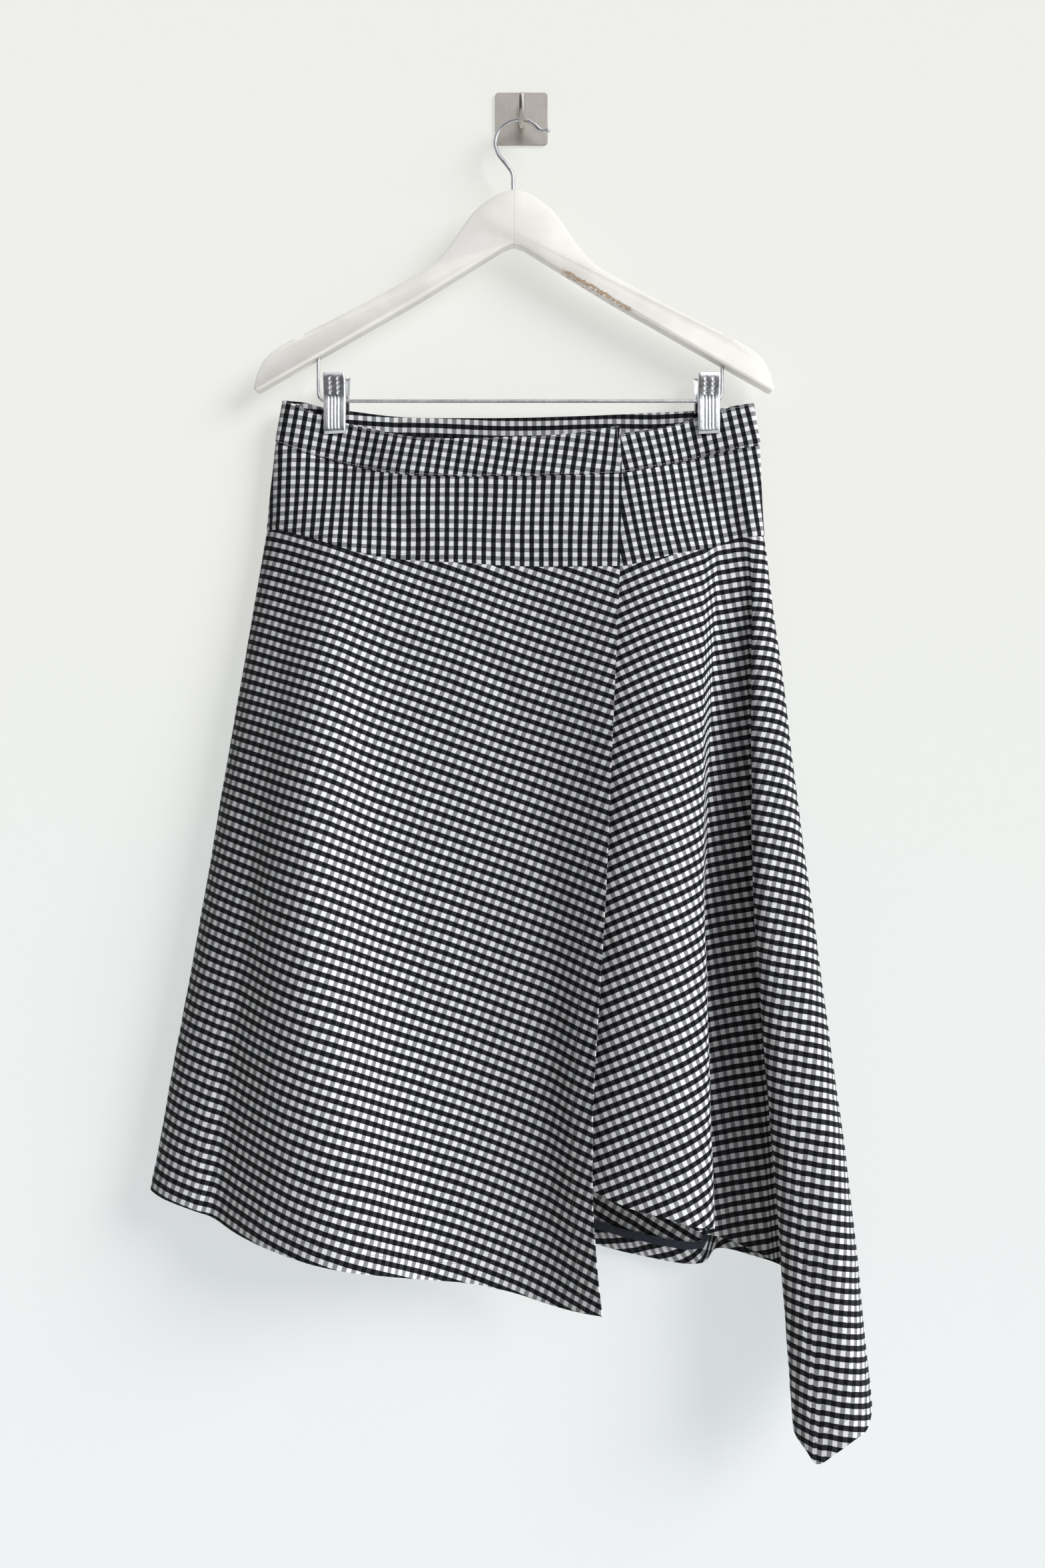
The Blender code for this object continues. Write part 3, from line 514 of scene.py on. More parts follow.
def add_node(tree, kind, values=None, **settings):
    """A shader node with its settings, its input values and the sockets that feed it."""
    made = tree.nodes.new(kind)
    for key, value in settings.items():
        setattr(made, key, value)
    for key, value in (values or {}).items():
        if isinstance(value, bpy.types.NodeSocket):
            tree.links.new(value, made.inputs[key])
        else:
            made.inputs[key].default_value = value
    return made


def calc(tree, operation, *values):
    return add_node(tree, "ShaderNodeMath", dict(enumerate(values)), operation=operation).outputs[0]


def mixed(tree, factor, one, two):
    """A colour between two, each a socket or an (r, g, b)."""
    pair = [c if isinstance(c, bpy.types.NodeSocket) else (*c, 1.0) for c in (one, two)]
    made = add_node(tree, "ShaderNodeMix", {0: factor, 6: pair[0], 7: pair[1]}, data_type="RGBA")
    return made.outputs[2]


def mapped(tree, value, low, high, to_low=0.0, to_high=1.0):
    made = add_node(tree, "ShaderNodeMapRange", {0: value, 1: low, 2: high, 3: to_low, 4: to_high},
                    interpolation_type="SMOOTHSTEP")
    return made.outputs[0]


def speckle(tree, place, scale, detail):
    """A noise texture with its fineness and its number of finer layers."""
    return add_node(tree, "ShaderNodeTexNoise", {"Vector": place, "Scale": scale, "Detail": detail})


def raise_surface(tree, shader, strength, distance, height):
    """Bump of a shader, with its depth in metres."""
    bump = add_node(tree, "ShaderNodeBump", {"Strength": strength, "Distance": distance, "Height": height})
    tree.links.new(bump.outputs[0], shader.inputs["Normal"])


def scaled(colour, share):
    return tuple(min(1, share * part) for part in colour)


def start_material(name, **values):
    """A material with its Principled shader's own sockets set."""
    made = bpy.data.materials.new(name)
    made.use_nodes = True
    tree = made.node_tree
    shader = tree.nodes["Principled BSDF"]
    for key, value in values.items():
        socket = shader.inputs[key.replace("_", " ")]
        socket.default_value = (*value, 1.0) if isinstance(value, tuple) else value
    return made, tree, shader


# Tones of the gingham where its stripes cross, and the yarns in a repeat.
WHITE, MID_GREY = (0.72, 0.725, 0.735), (0.225, 0.228, 0.238)
DARK_GREY, BLACK = (0.022, 0.023, 0.026), (0.0022, 0.0024, 0.0035)
YARNS = 26.0


def gingham():
    made, tree, shader = start_material("gingham", Roughness=0.72, Specular_IOR_Level=0.12,
                                        Sheen_Weight=0.015, Sheen_Roughness=0.4)
    threads = add_node(tree, "ShaderNodeAttribute", attribute_name="threads", attribute_type="GEOMETRY")
    parts = add_node(tree, "ShaderNodeSeparateXYZ", {0: threads.outputs["Vector"]})
    slub = speckle(tree, threads.outputs["Vector"], 1.6, 2.0)
    drift = calc(tree, "MULTIPLY", calc(tree, "SUBTRACT", slub.outputs[0], 0.5), 0.06)
    stripes = []
    for k in (0, 1):
        wave = calc(tree, "SINE", calc(tree, "MULTIPLY", calc(tree, "ADD", parts.outputs[k], drift), TAU))
        stripes.append(mapped(tree, wave, -0.13, 0.13))
    light = mixed(tree, stripes[1], WHITE, MID_GREY)
    dark = mixed(tree, stripes[1], DARK_GREY, BLACK)
    tone = mixed(tree, stripes[0], light, dark)
    weave = calc(tree, "MULTIPLY",
                 calc(tree, "SINE", calc(tree, "MULTIPLY", parts.outputs[0], TAU * YARNS / 2)),
                 calc(tree, "SINE", calc(tree, "MULTIPLY", parts.outputs[1], TAU * YARNS / 2)))
    patch = speckle(tree, threads.outputs["Vector"], 0.35, 3.0)
    uneven = mapped(tree, patch.outputs[0], 0.3, 0.7, 0.93, 1.04)
    shade = calc(tree, "ADD", calc(tree, "MULTIPLY", weave, 0.16), uneven)
    colour = add_node(tree, "ShaderNodeVectorMath", {0: tone, 1: shade}, operation="MULTIPLY")
    tree.links.new(colour.outputs[0], shader.inputs["Base Color"])
    raise_surface(tree, shader, 0.35, 0.00012, weave)
    return made


def thread_material(name, colour):
    made, tree, shader = start_material(name, Base_Color=colour, Roughness=0.7, Sheen_Weight=0.2)
    place = add_node(tree, "ShaderNodeTexCoord")
    twist = speckle(tree, place.outputs["Object"], 2500.0, 2.0)
    tint = mixed(tree, twist.outputs[0], scaled(colour, 0.7), scaled(colour, 1.25))
    tree.links.new(tint, shader.inputs["Base Color"])
    raise_surface(tree, shader, 0.4, 0.0001, twist.outputs[0])
    return made


def metal(name, colour, roughness, streaks=(0, 0, 0), depth=0.0):
    """A bare metal, with fine streaks drawn out along one direction where it is brushed or drawn."""
    made, tree, shader = start_material(name, Base_Color=colour, Metallic=1.0, Roughness=roughness)
    place = add_node(tree, "ShaderNodeTexCoord")
    stretch = add_node(tree, "ShaderNodeMapping", {"Vector": place.outputs["Object"], "Scale": streaks})
    grain = speckle(tree, stretch.outputs[0], 1.0, 4.0)
    cloud = speckle(tree, place.outputs["Object"], 60.0, 3.0)
    streaky = calc(tree, "MULTIPLY", grain.outputs[0], 0.6)
    both = calc(tree, "ADD", streaky, calc(tree, "MULTIPLY", cloud.outputs[0], 0.4))
    tint = mixed(tree, mapped(tree, both, 0.3, 0.7), scaled(colour, 0.8), scaled(colour, 1.12))
    tree.links.new(tint, shader.inputs["Base Color"])
    rough = mapped(tree, both, 0.3, 0.7, roughness * 0.85, roughness * 1.25)
    tree.links.new(rough, shader.inputs["Roughness"])
    raise_surface(tree, shader, 0.3, depth, grain.outputs[0])
    return made


def finish_piece(piece, made, replaced=(), smooth=40):
    """Gives a piece its material and ride, and hides the solids that it stands for."""
    piece.data.materials.append(made)
    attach(piece, "root")
    if replaced:
        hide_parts(*replaced)
    if piece.type == "MESH" and smooth:
        piece.data.shade_smooth()
        piece.data.set_sharp_from_angle(angle=math.radians(smooth))
    return piece


def mesh_piece(name, points, faces, threads=None):
    """A mesh of points in millimetres with its faces turned out, and where each lies on the gingham."""
    mesh = bpy.data.meshes.new(name)
    mesh.from_pydata([Vector(p) * MM for p in points], [], faces)
    if threads is not None:
        layer = mesh.attributes.new("threads", "FLOAT_VECTOR", "POINT")
        flat = np.concatenate([threads, np.zeros((len(threads), 1))], axis=1)
        layer.data.foreach_set("vector", flat.astype(np.float32).ravel())
    shape = bmesh.new()
    shape.from_mesh(mesh)
    bmesh.ops.recalc_face_normals(shape, faces=shape.faces)
    shape.to_mesh(mesh)
    shape.free()
    made = bpy.data.objects.new(name, mesh)
    bpy.context.scene.collection.objects.link(made)
    return made


def shell(name, outer, inner, threads):
    """A thin closed sheet between two grids of points."""
    rows, columns = outer.shape[:2]
    count = rows * columns
    faces = []
    for r in range(rows - 1):
        for c in range(columns - 1):
            a = r * columns + c
            faces.append((a, a + 1, a + columns + 1, a + columns))
            faces.append((count + a, count + a + columns, count + a + columns + 1, count + a + 1))
    rim = list(range(columns))
    rim += [r * columns + columns - 1 for r in range(1, rows)]
    rim += [(rows - 1) * columns + c for c in range(columns - 2, -1, -1)]
    rim += [r * columns for r in range(rows - 2, 0, -1)]
    for here, there in zip(rim, rim[1:] + rim[:1]):
        faces.append((here, there, count + there, count + here))
    places = np.vstack([outer.reshape(-1, 3), inner.reshape(-1, 3)])
    return mesh_piece(name, places, faces, np.vstack([threads.reshape(-1, 2)] * 2))


def cloth_surfaces():
    """Every layer of the strip with its points, outward directions and flat places, before any crease."""
    levels = {layer: row_levels(LAYER_LENGTHS[layer], rows) for layer, rows in LAYER_ROWS.items()}
    coarse_levels = {layer: np.linspace(0, 1, rows) for layer, rows in FLAT_ROWS.items()}
    fine = cloth_layers(STEPS, *levels.values())
    coarse = cloth_layers(FLAT_STEPS, *coarse_levels.values())
    surfaces = {}
    for name, (points, outward) in fine.items():
        layer = name.split("_")[0]
        flat = laid_flat(coarse[name][0])
        spread = spread_out(flat, coarse_levels[layer], levels[layer], points.shape[1])
        surfaces[name] = {"points": points, "outward": outward, "flat": spread}
    return surfaces


def near(distance, reach):
    """1 close to an edge, falling smoothly to 0 at a distance a little past the reach."""
    t = np.clip((distance - reach + 1.0) / 3.0, 0, 1)
    return 1 - t * t * (3 - 2 * t)


def edge_distances(points):
    """Distance of each point from the top, the bottom, the first and the last column of its layer."""
    down, along = lengths(points, 0), lengths(points, 1)
    return {"top": down, "bottom": down[-1:] - down, "first": along, "last": along[:, -1:] - along}


def creased(name, points, edges):
    """How far each point of a layer stands out from its smooth form."""
    layer, side = name.split("_")
    across, height = points[..., 0], points[..., 2]
    raised = np.zeros(across.shape)
    for piece, width, depth, *route in CREASES:
        if piece == name:
            path = smooth_path(route, CREASE_STEPS)
            away = np.hypot(across[..., None] - path[:, 0], height[..., None] - path[:, 1])
            along = away.argmin(axis=2) / (len(path) - 1)
            fade = (4 * along * (1 - along)) ** 0.8
            raised += depth * fade * np.exp(-(away.min(axis=2) / width) ** 2)
    sewn = {"waistband": ("bottom",), "yoke": ("top", "bottom"), "panel": ("top",)}[layer]
    joined = {"over": ("last",), "back": ("first", "last"), "under": ("first",)}[side]
    seams = np.minimum.reduce([edges[edge] for edge in sewn + joined])
    borders = np.minimum(seams, edges["bottom"])
    swell = BAND_SWELL if layer == "waistband" else 1.0
    for index in np.ndindex(across.shape):
        place = Vector(points[index])
        raised[index] += swell * sum(deep * noise.noise(place * fineness) for deep, fineness in UNEVEN)
        raised[index] += (PUCKER_DEEP * math.exp(-borders[index] / PUCKER_REACH)
                          * noise.noise(Vector((place.x * 0.13, place.y * 0.13, place.z * 0.03))))
    raised -= SEAM_DIP * np.exp(-(seams / SEAM_WIDE) ** 2)
    if layer == "yoke":
        raised += ALLOWANCE_THICK * near(edges["bottom"], ALLOWANCE_TALL)
    if layer == "waistband":
        raised += BAND_PROUD
    return raised


def thickness(name, edges):
    """Thickness of the cloth at each point, more where it is doubled and less at a rounded edge."""
    layer, side = name.split("_")
    thick = np.full(edges["top"].shape, BAND_THICK if layer == "waistband" else CLOTH_THICK)
    if layer == "panel" and side in HEM_TALL:
        thick += HEM_THICK * near(edges["bottom"], HEM_TALL[side])
    if side == "over" and layer != "waistband":
        thick += FACING_THICK * near(edges["first"], FACING_WIDE)
    if layer == "waistband":
        inset = np.minimum(np.minimum(edges["top"], edges["bottom"]) / (BAND_THICK / 2), 1)
        thick *= np.sqrt(BAND_EDGE + (1 - BAND_EDGE) * (1 - (1 - inset) ** 2))
    return thick


def edge_line(surface, values, edge, inset):
    """Values of a layer's grid along a line at a constant distance in from one of its edges."""
    grid, value = surface["outer"], surface[values]
    if edge in ("first", "last"):
        grid, value = grid.transpose(1, 0, 2), value.transpose(1, 0, 2)
    if edge in ("bottom", "last"):
        grid, value = grid[::-1], value[::-1]
    measure = lengths(grid, 0)
    border = np.gradient(grid[0], axis=0)
    border /= np.linalg.norm(border, axis=1, keepdims=True)
    inward = grid[5] - grid[0]
    inward /= np.linalg.norm(inward, axis=1, keepdims=True)
    slant = np.linalg.norm(np.cross(border, inward), axis=1)
    wanted = inset / np.maximum(slant, 1 / STEEPEST)
    return np.array([[np.interp(wanted[c], measure[:, c], value[:, c, k]) for k in range(value.shape[2])]
                     for c in range(grid.shape[1])])


def tube(path, radii, sides):
    """Points and faces of a closed tube along a path, whose rings turn as little as they can."""
    path = np.asarray(path, float)
    tangents = np.gradient(path, axis=0)
    tangents /= np.linalg.norm(tangents, axis=1, keepdims=True)
    side = np.cross(tangents[0], (0.12, 0.25, 0.96))
    angles = np.arange(sides)[:, None] * TAU / sides
    rings = []
    for place, tangent, radius in zip(path, tangents, np.broadcast_to(radii, len(path))):
        side = side - tangent * (side @ tangent)
        side /= np.linalg.norm(side)
        rings.append(place + radius * (np.cos(angles) * side + np.sin(angles) * np.cross(tangent, side)))
    faces = []
    for first in range(0, (len(path) - 1) * sides, sides):
        for k in range(sides):
            after = (k + 1) % sides
            faces.append((first + k, first + after, first + sides + after, first + sides + k))
    faces += [tuple(range(sides)), tuple(range((len(path) - 1) * sides, len(path) * sides))]
    return np.vstack(rings), faces


def domed(path, radius, steps=6):
    """A path with its ring radii, closed by a dome at each end."""
    along = distances(path)
    angles = np.linspace(0.12, math.pi / 2, steps)
    ends = radius * (1 - np.cos(angles))
    inner = along[(along > radius * 1.05) & (along < along[-1] - radius * 1.05)]
    wanted = np.concatenate([ends, inner, along[-1] - ends[::-1]])
    rings = radius * np.sin(angles)
    radii = np.concatenate([rings, np.full(len(inner), radius), rings[::-1]])
    return places_at(wanted, along, path), radii


def joined_piece(name, parts):
    """One mesh of many small ones."""
    points, faces, count = [], [], 0
    for places, sides in parts:
        points.append(places)
        faces += [tuple(count + i for i in face) for face in sides]
        count += len(places)
    return mesh_piece(name, np.vstack(points), faces)


def stitch_row(line, outward):
    """Short arched stitches along a line on the cloth."""
    along = distances(line)
    rise = np.array((-0.7, 0.55, 0.55, -0.7)) * STITCH_RADIUS
    reach = np.array((-0.5, -0.3, 0.3, 0.5)) * STITCH_PITCH * STITCH_SHARE
    parts = []
    for middle in np.arange(STITCH_PITCH / 2, along[-1] - STITCH_PITCH / 2, STITCH_PITCH):
        place = places_at(middle + reach, along, line)
        out = places_at(middle + reach, along, outward)
        parts.append(tube(place + out * rise[:, None], STITCH_RADIUS, 5))
    return parts


def sun(name, direction, strength, angle):
    lamp = bpy.data.lights.new(name, "SUN")
    lamp.energy = strength
    lamp.angle = math.radians(angle)
    made = bpy.data.objects.new(name, lamp)
    bpy.context.scene.collection.objects.link(made)
    made.rotation_euler = Vector(direction).to_track_quat("Z", "Y").to_euler()
    made.visible_glossy = False


def plane(name, corners, made):
    mesh = bpy.data.meshes.new(name)
    mesh.from_pydata(corners, [], [(0, 1, 2, 3)])
    piece = bpy.data.objects.new(name, mesh)
    bpy.context.scene.collection.objects.link(piece)
    piece.data.materials.append(made)
    return piece


# Stage, in metres, and the directions that its lights come from.
STAGE_HALF, FLOOR_HEIGHT, WALL_TOP, WALL_PLACE = 4, -1.75, 2, 0.0006
KEY_DIRECTION, RIM_DIRECTION = (0.75, -0.50, 0.44), (-0.3, 0.8, 0.5)
SUNS = (("key", KEY_DIRECTION, 4.5, 32), ("rim", RIM_DIRECTION, 1.9, 40))   # strength, then width in degrees


def studio_world():
    """Dim soft surroundings. Metal reflects a bright window by the key light and a dim room elsewhere."""
    world = bpy.data.worlds.new("studio")
    world.use_nodes = True
    tree = world.node_tree
    ray = add_node(tree, "ShaderNodeLightPath")
    seen, glossy = ray.outputs["Is Camera Ray"], ray.outputs["Is Glossy Ray"]
    towards = add_node(tree, "ShaderNodeTexCoord").outputs["Generated"]
    parts = add_node(tree, "ShaderNodeSeparateXYZ", {0: towards})
    facing = add_node(tree, "ShaderNodeVectorMath", {0: towards, 1: Vector(KEY_DIRECTION).normalized()},
                      operation="DOT_PRODUCT")
    window = mapped(tree, facing.outputs["Value"], 0.45, 0.85, 0.0, 1.5)
    sky = mapped(tree, parts.outputs[2], -0.35, 0.6, 0.1, 0.6)
    mirrored = calc(tree, "MULTIPLY", glossy, calc(tree, "ADD", window, sky))
    other = calc(tree, "SUBTRACT", calc(tree, "SUBTRACT", 1.0, seen), glossy)
    strength = calc(tree, "ADD", calc(tree, "MULTIPLY", seen, 0.82),
                    calc(tree, "ADD", mirrored, calc(tree, "MULTIPLY", other, 0.12)))
    background = tree.nodes["Background"]
    background.inputs[0].default_value = (0.95, 0.97, 1.0, 1)
    tree.links.new(strength, background.inputs[1])
    bpy.context.scene.world = world


def wall_paint_and_glow():
    """Pale paint with a painted glow, a little warmer above, which keeps shadows faint. It shows only from
    the front.
    """
    # Dim paint under a painted glow of the wall's own, which keeps the cast shadows on it faint; the glow's
    # colour is a little warmer higher up.
    made, tree, shader = start_material("wall_paint_and_glow", Base_Color=(0.27, 0.27, 0.265), Roughness=0.95,
                                        Specular_IOR_Level=0.0, Emission_Strength=0.6)
    place = add_node(tree, "ShaderNodeNewGeometry")
    parts = add_node(tree, "ShaderNodeSeparateXYZ", {0: place.outputs["Position"]})
    patch = speckle(tree, place.outputs["Position"], 3.0, 3.0)
    rise = calc(tree, "ADD", parts.outputs[2], calc(tree, "MULTIPLY", patch.outputs[0], 0.25))
    glow = mixed(tree, mapped(tree, rise, -1.1, 0.1), (0.93, 0.985, 1.0), (0.98, 0.985, 0.93))
    tree.links.new(glow, shader.inputs["Emission Color"])
    clear = add_node(tree, "ShaderNodeBsdfTransparent")
    mix = add_node(tree, "ShaderNodeMixShader", {0: place.outputs["Backfacing"], 1: shader.outputs[0],
                                                 2: clear.outputs[0]})
    tree.links.new(mix.outputs[0], tree.nodes["Material Output"].inputs["Surface"])
    return made


def build_stage():
    """A pale wall with a painted glow that shows only from the front, a pale floor, and soft light from two
    sides.
    """
    bpy.context.scene.view_settings.view_transform = "Standard"
    corners = [(x * STAGE_HALF, WALL_PLACE, z)
               for x, z in ((-1, FLOOR_HEIGHT), (1, FLOOR_HEIGHT), (1, WALL_TOP), (-1, WALL_TOP))]
    back = plane("wall", corners, wall_paint_and_glow())
    back.visible_shadow = False
    back.visible_diffuse = False
    ground, _, _ = start_material("floor_paint", Base_Color=(0.78, 0.78, 0.77), Roughness=0.9)
    corners = [(x * STAGE_HALF, y * STAGE_HALF, FLOOR_HEIGHT)
               for x, y in ((-1, -1), (1, -1), (1, 1), (-1, 1))]
    plane("floor", corners, ground)
    for lamp in SUNS:
        sun(*lamp)
    studio_world()


CAMERA_PLACE = (0.0009, -1.218, -0.5752)
CAMERA_LENS = 32.3


def build_camera():
    lens = bpy.data.cameras.new("camera")
    lens.sensor_width = 36
    lens.lens = CAMERA_LENS
    made = bpy.data.objects.new("camera", lens)
    bpy.context.scene.collection.objects.link(made)
    made.location = CAMERA_PLACE
    made.rotation_euler = (math.radians(90), 0, 0)
    bpy.context.scene.camera = made


def dress_surfaces(surfaces):
    """Adds each layer's creases and thickness, as its outer and inner faces."""
    for name, surface in surfaces.items():
        edges = edge_distances(surface["points"])
        middle = surface["points"] + surface["outward"] * creased(name, surface["points"], edges)[..., None]
        half = surface["outward"] * thickness(name, edges)[..., None] / 2
        surface["outer"], surface["inner"] = middle + half, middle - half
        surface["threads"] = threads_of(name, surface["flat"])


def build_cloth(surfaces, finish):
    for name, surface in surfaces.items():
        piece = shell(f"cloth_{name}", surface["outer"], surface["inner"], surface["threads"])
        finish_piece(piece, finish, (name,), smooth=60)


def build_turn_up(back, finish, overlock, bed):
    """The back's turned-up hem, whose raw edge is overlocked. It shows beneath the right front."""
    heights = np.array((0.4, 1.2, 4.0, 8.0, 12.0, 15.0, 17.5, TURN_UP_TALL))
    inner = np.array([edge_line(back, "inner", "bottom", d) for d in heights])
    outward = np.array([edge_line(back, "outward", "bottom", d) for d in heights])
    flat = np.array([edge_line(back, "flat", "bottom", d) for d in heights])
    hem = edge_line(back, "flat", "bottom", 0.0)
    start = back["flat"][0, back["flat"].shape[1] // 2]
    threads = threads_of("panel_back", 2 * hem - flat, start)
    roll = TURN_UP_LIFT + 0.45 * np.sin(np.pi * heights / TURN_UP_TALL)
    near_face = inner - outward * roll[:, None, None]
    far_face = near_face - outward * TURN_UP_THICK
    piece = shell("cloth_hem_turn_up", near_face, far_face, threads)
    finish_piece(piece, finish, ("hem_turn_up",), smooth=60)

    def raised(distance, lift):
        place = np.array([[np.interp(distance, heights, far_face[:, c, k]) for k in range(3)]
                          for c in range(far_face.shape[1])])
        return place - outward[-1] * lift

    top, foot = TURN_UP_TALL + OVERLOCK_PAST, TURN_UP_TALL - OVERLOCK_TALL
    strip = np.array([raised(d, BED_LIFT) for d in np.linspace(foot, TURN_UP_TALL, 4)])
    backing = shell("overlock_bed", strip, strip - outward[-4:] * BED_THICK, np.zeros((*strip.shape[:2], 2)))
    finish_piece(backing, bed)
    upper, lower = raised(top, OVERLOCK_LIFT), raised(foot, OVERLOCK_LIFT)
    along = distances(lower)
    at = np.arange(0.5, along[-1] - 0.5, OVERLOCK_PITCH / 4)
    swing = 0.5 + 0.5 * np.sin(TAU * at / OVERLOCK_PITCH)
    low = places_at(at, along, lower)
    high = places_at(at, along, upper)
    zigzag = tube(low + (high - low) * swing[:, None], OVERLOCK_RADIUS, 5)
    runs = [tube(line, OVERLOCK_RADIUS * 0.9, 5) for line in (low, high)]
    loops = joined_piece("overlock_thread", [zigzag, *runs])
    finish_piece(loops, overlock)


def build_stitches(surfaces, threads):
    for tint, made in threads.items():
        parts = []
        for piece, edge, inset, thread in STITCH_ROWS:
            if thread == tint:
                surface = surfaces[piece]
                parts += stitch_row(edge_line(surface, "outer", edge, inset),
                                    edge_line(surface, "outward", edge, inset))
        finish_piece(joined_piece(f"stitches_{tint}", parts), made)


def build_corner_loop(waistband, made):
    """The small loop of thread at the free top corner of the left front's waistband."""
    corner = waistband["outer"][2, 1]
    turn = np.linspace(-0.4, 3.6, 18)[:, None]
    path = corner + np.hstack([CORNER_LOOP_RADIUS * np.sin(turn), -0.2 - 0.12 * turn,
                               0.6 - CORNER_LOOP_RADIUS * np.cos(turn)])
    places, radii = domed(path, CORNER_LOOP_THREAD, 4)
    finish_piece(joined_piece("corner_loop", [tube(places, radii, 8)]), made)


def slab(name, outline, front, back, width, segments):
    """An outline, as (across, height), drawn out between two distances from the wall, with rounded edges."""
    count = len(outline)
    points = [(x, -front, z) for x, z in outline] + [(x, -back, z) for x, z in outline]
    faces = [tuple(range(count)), tuple(range(count, 2 * count))]
    faces += [(i, (i + 1) % count, count + (i + 1) % count, count + i) for i in range(count)]
    piece = mesh_piece(name, points, faces)
    edge = piece.modifiers.new("rounding", "BEVEL")
    edge.width = width * MM
    edge.segments = segments
    edge.limit_method = "ANGLE"
    edge.angle_limit = math.radians(50)
    return piece


def build_plate(made):
    half = PLATE_SIDE / 2 - PLATE_CORNER
    outline = []
    for x, z, first in ((half, half, 0), (-half, half, 90), (-half, -half, 180), (half, -half, 270)):
        for degrees in range(first, first + 91, 15):
            turn = math.radians(degrees)
            outline.append((x + PLATE_CORNER * math.cos(turn), z + PLATE_CORNER * math.sin(turn)))
    plate = slab("plate", outline, PLATE_THICK, 0.0, PLATE_ROUNDING, 3)
    finish_piece(plate, made, ("wall_plate",))


def build_rods(prong, wire):
    """The wall hook, the hanger's hook with its ball tip, and the clip bar."""
    across = sum(corner[0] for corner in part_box("wall_hook")) / 2 / MM
    route = smooth_path([(across, -forward, height) for forward, height in WALL_HOOK_ROUTE], 8)
    hook = joined_piece("hook_prong", [tube(*domed(route, PRONG_DIAMETER / 2), 24)])
    finish_piece(hook, prong, ("wall_hook",))

    stations = []
    for x, z in HANGER_HOOK_ROUTE:
        turn = min(max((z - TURN_FOOT) / (TURN_FULL - TURN_FOOT), 0), 1)
        stations.append((x, -(HANG_FORWARD + HOOK_TURN * turn * x / HOOK_REACH), z))
    path = smooth_path(stations, 8)
    angles = np.linspace(0.1, math.pi - 0.1, 12)
    tip = path[-1] - (0.6, 0, 0)
    ball = tube(tip - np.outer(np.cos(angles) * TIP_BALL, (1, 0, 0)), TIP_BALL * np.sin(angles), 18)
    hook = joined_piece("hanger_wire_hook", [tube(*domed(path, HOOK_WIRE / 2), 20), ball])
    finish_piece(hook, wire, ("hanger_hook",))

    (left, left_top), (right, right_top) = BAR_ENDS
    route = [(left, left_top)]
    for x, first in ((left + BAR_BEND, 180), (right - BAR_BEND, 270)):
        for a in range(first, first + 91, 10):
            turn = math.radians(a)
            route.append((x + BAR_BEND * math.cos(turn), BAR_HEIGHT + BAR_BEND + BAR_BEND * math.sin(turn)))
    route.append((right, right_top))
    path = np.array([(x, -HANG_FORWARD, z) for x, z in route])
    bar = joined_piece("bar", [tube(*domed(path, BAR_WIRE / 2), 18)])
    finish_piece(bar, wire, ("clip_bar",))


def jaw_faces(middle, mirror):
    """Outer and inner faces of a pressed jaw: dimples above, flutes below and its two sides bent back."""
    levels = np.linspace(JAW_PROFILE[0][0], JAW_PROFILE[-1][0], JAW_ROWS)
    smooth = smooth_path(np.array(JAW_PROFILE, float), 10)[::-1]
    forward = np.interp(levels, smooth[:, 0], smooth[:, 1])
    flange_heights, flange_depths = np.array(JAW_FLANGE[::-1], float).T
    flange = np.interp(levels, flange_heights, flange_depths)
    half = CLIP_WIDE / 2
    flat = np.linspace(-half + JAW_ROUNDING, half - JAW_ROUNDING, JAW_COLUMNS)
    bend = [(half - 0.42, 0.14), (half - 0.12, 0.45), (half, JAW_ROUNDING)]
    across = np.concatenate([[-half], [-x for x, _ in reversed(bend)], flat, [x for x, _ in bend], [half]])
    sunk = np.concatenate([[1.0], np.zeros(JAW_COLUMNS + 2 * len(bend)), [1.0]])
    curve = np.concatenate([[JAW_ROUNDING], [y for _, y in reversed(bend)], np.zeros(JAW_COLUMNS),
                            [y for _, y in bend], [JAW_ROUNDING]])
    x, z = np.meshgrid(across, levels)
    relief = np.zeros(x.shape)
    for row in DIMPLE_ROWS:
        for place in (-DIMPLE_ACROSS, DIMPLE_ACROSS):
            relief -= DIMPLE_DEEP * np.exp(-(((x - place) ** 2 + (z - row) ** 2) / DIMPLE_SIZE ** 2) ** 1.5)
    band = np.clip((4.0 - z) / 3.0, 0, 1) * np.clip((z + 25.5) / 2.5, 0, 1) * (np.abs(x) < FLUTE_SPAN / 2)
    relief -= FLUTE_DEEP * band * (0.5 - 0.5 * np.cos(TAU * (x + FLUTE_SPAN / 2) / (FLUTE_SPAN / FLUTES)))
    bevel = JAW_LIP * np.clip((-z - 26.0) / 2.5, 0, 1)
    forward = forward[:, None] - HANG_FORWARD - curve - sunk * flange[:, None] + relief - bevel
    slant = z + 0.05 * x * np.clip((-z - 22) / 6.5, 0, 1)
    outer = np.stack([middle + x, -(HANG_FORWARD + mirror * forward), slant], axis=2)
    outer[..., 2] += BAR_HEIGHT
    normal = np.cross(np.gradient(outer, axis=1), np.gradient(outer, axis=0)) * mirror
    normal /= np.linalg.norm(normal, axis=2, keepdims=True)
    return outer, outer - normal * JAW_SHEET


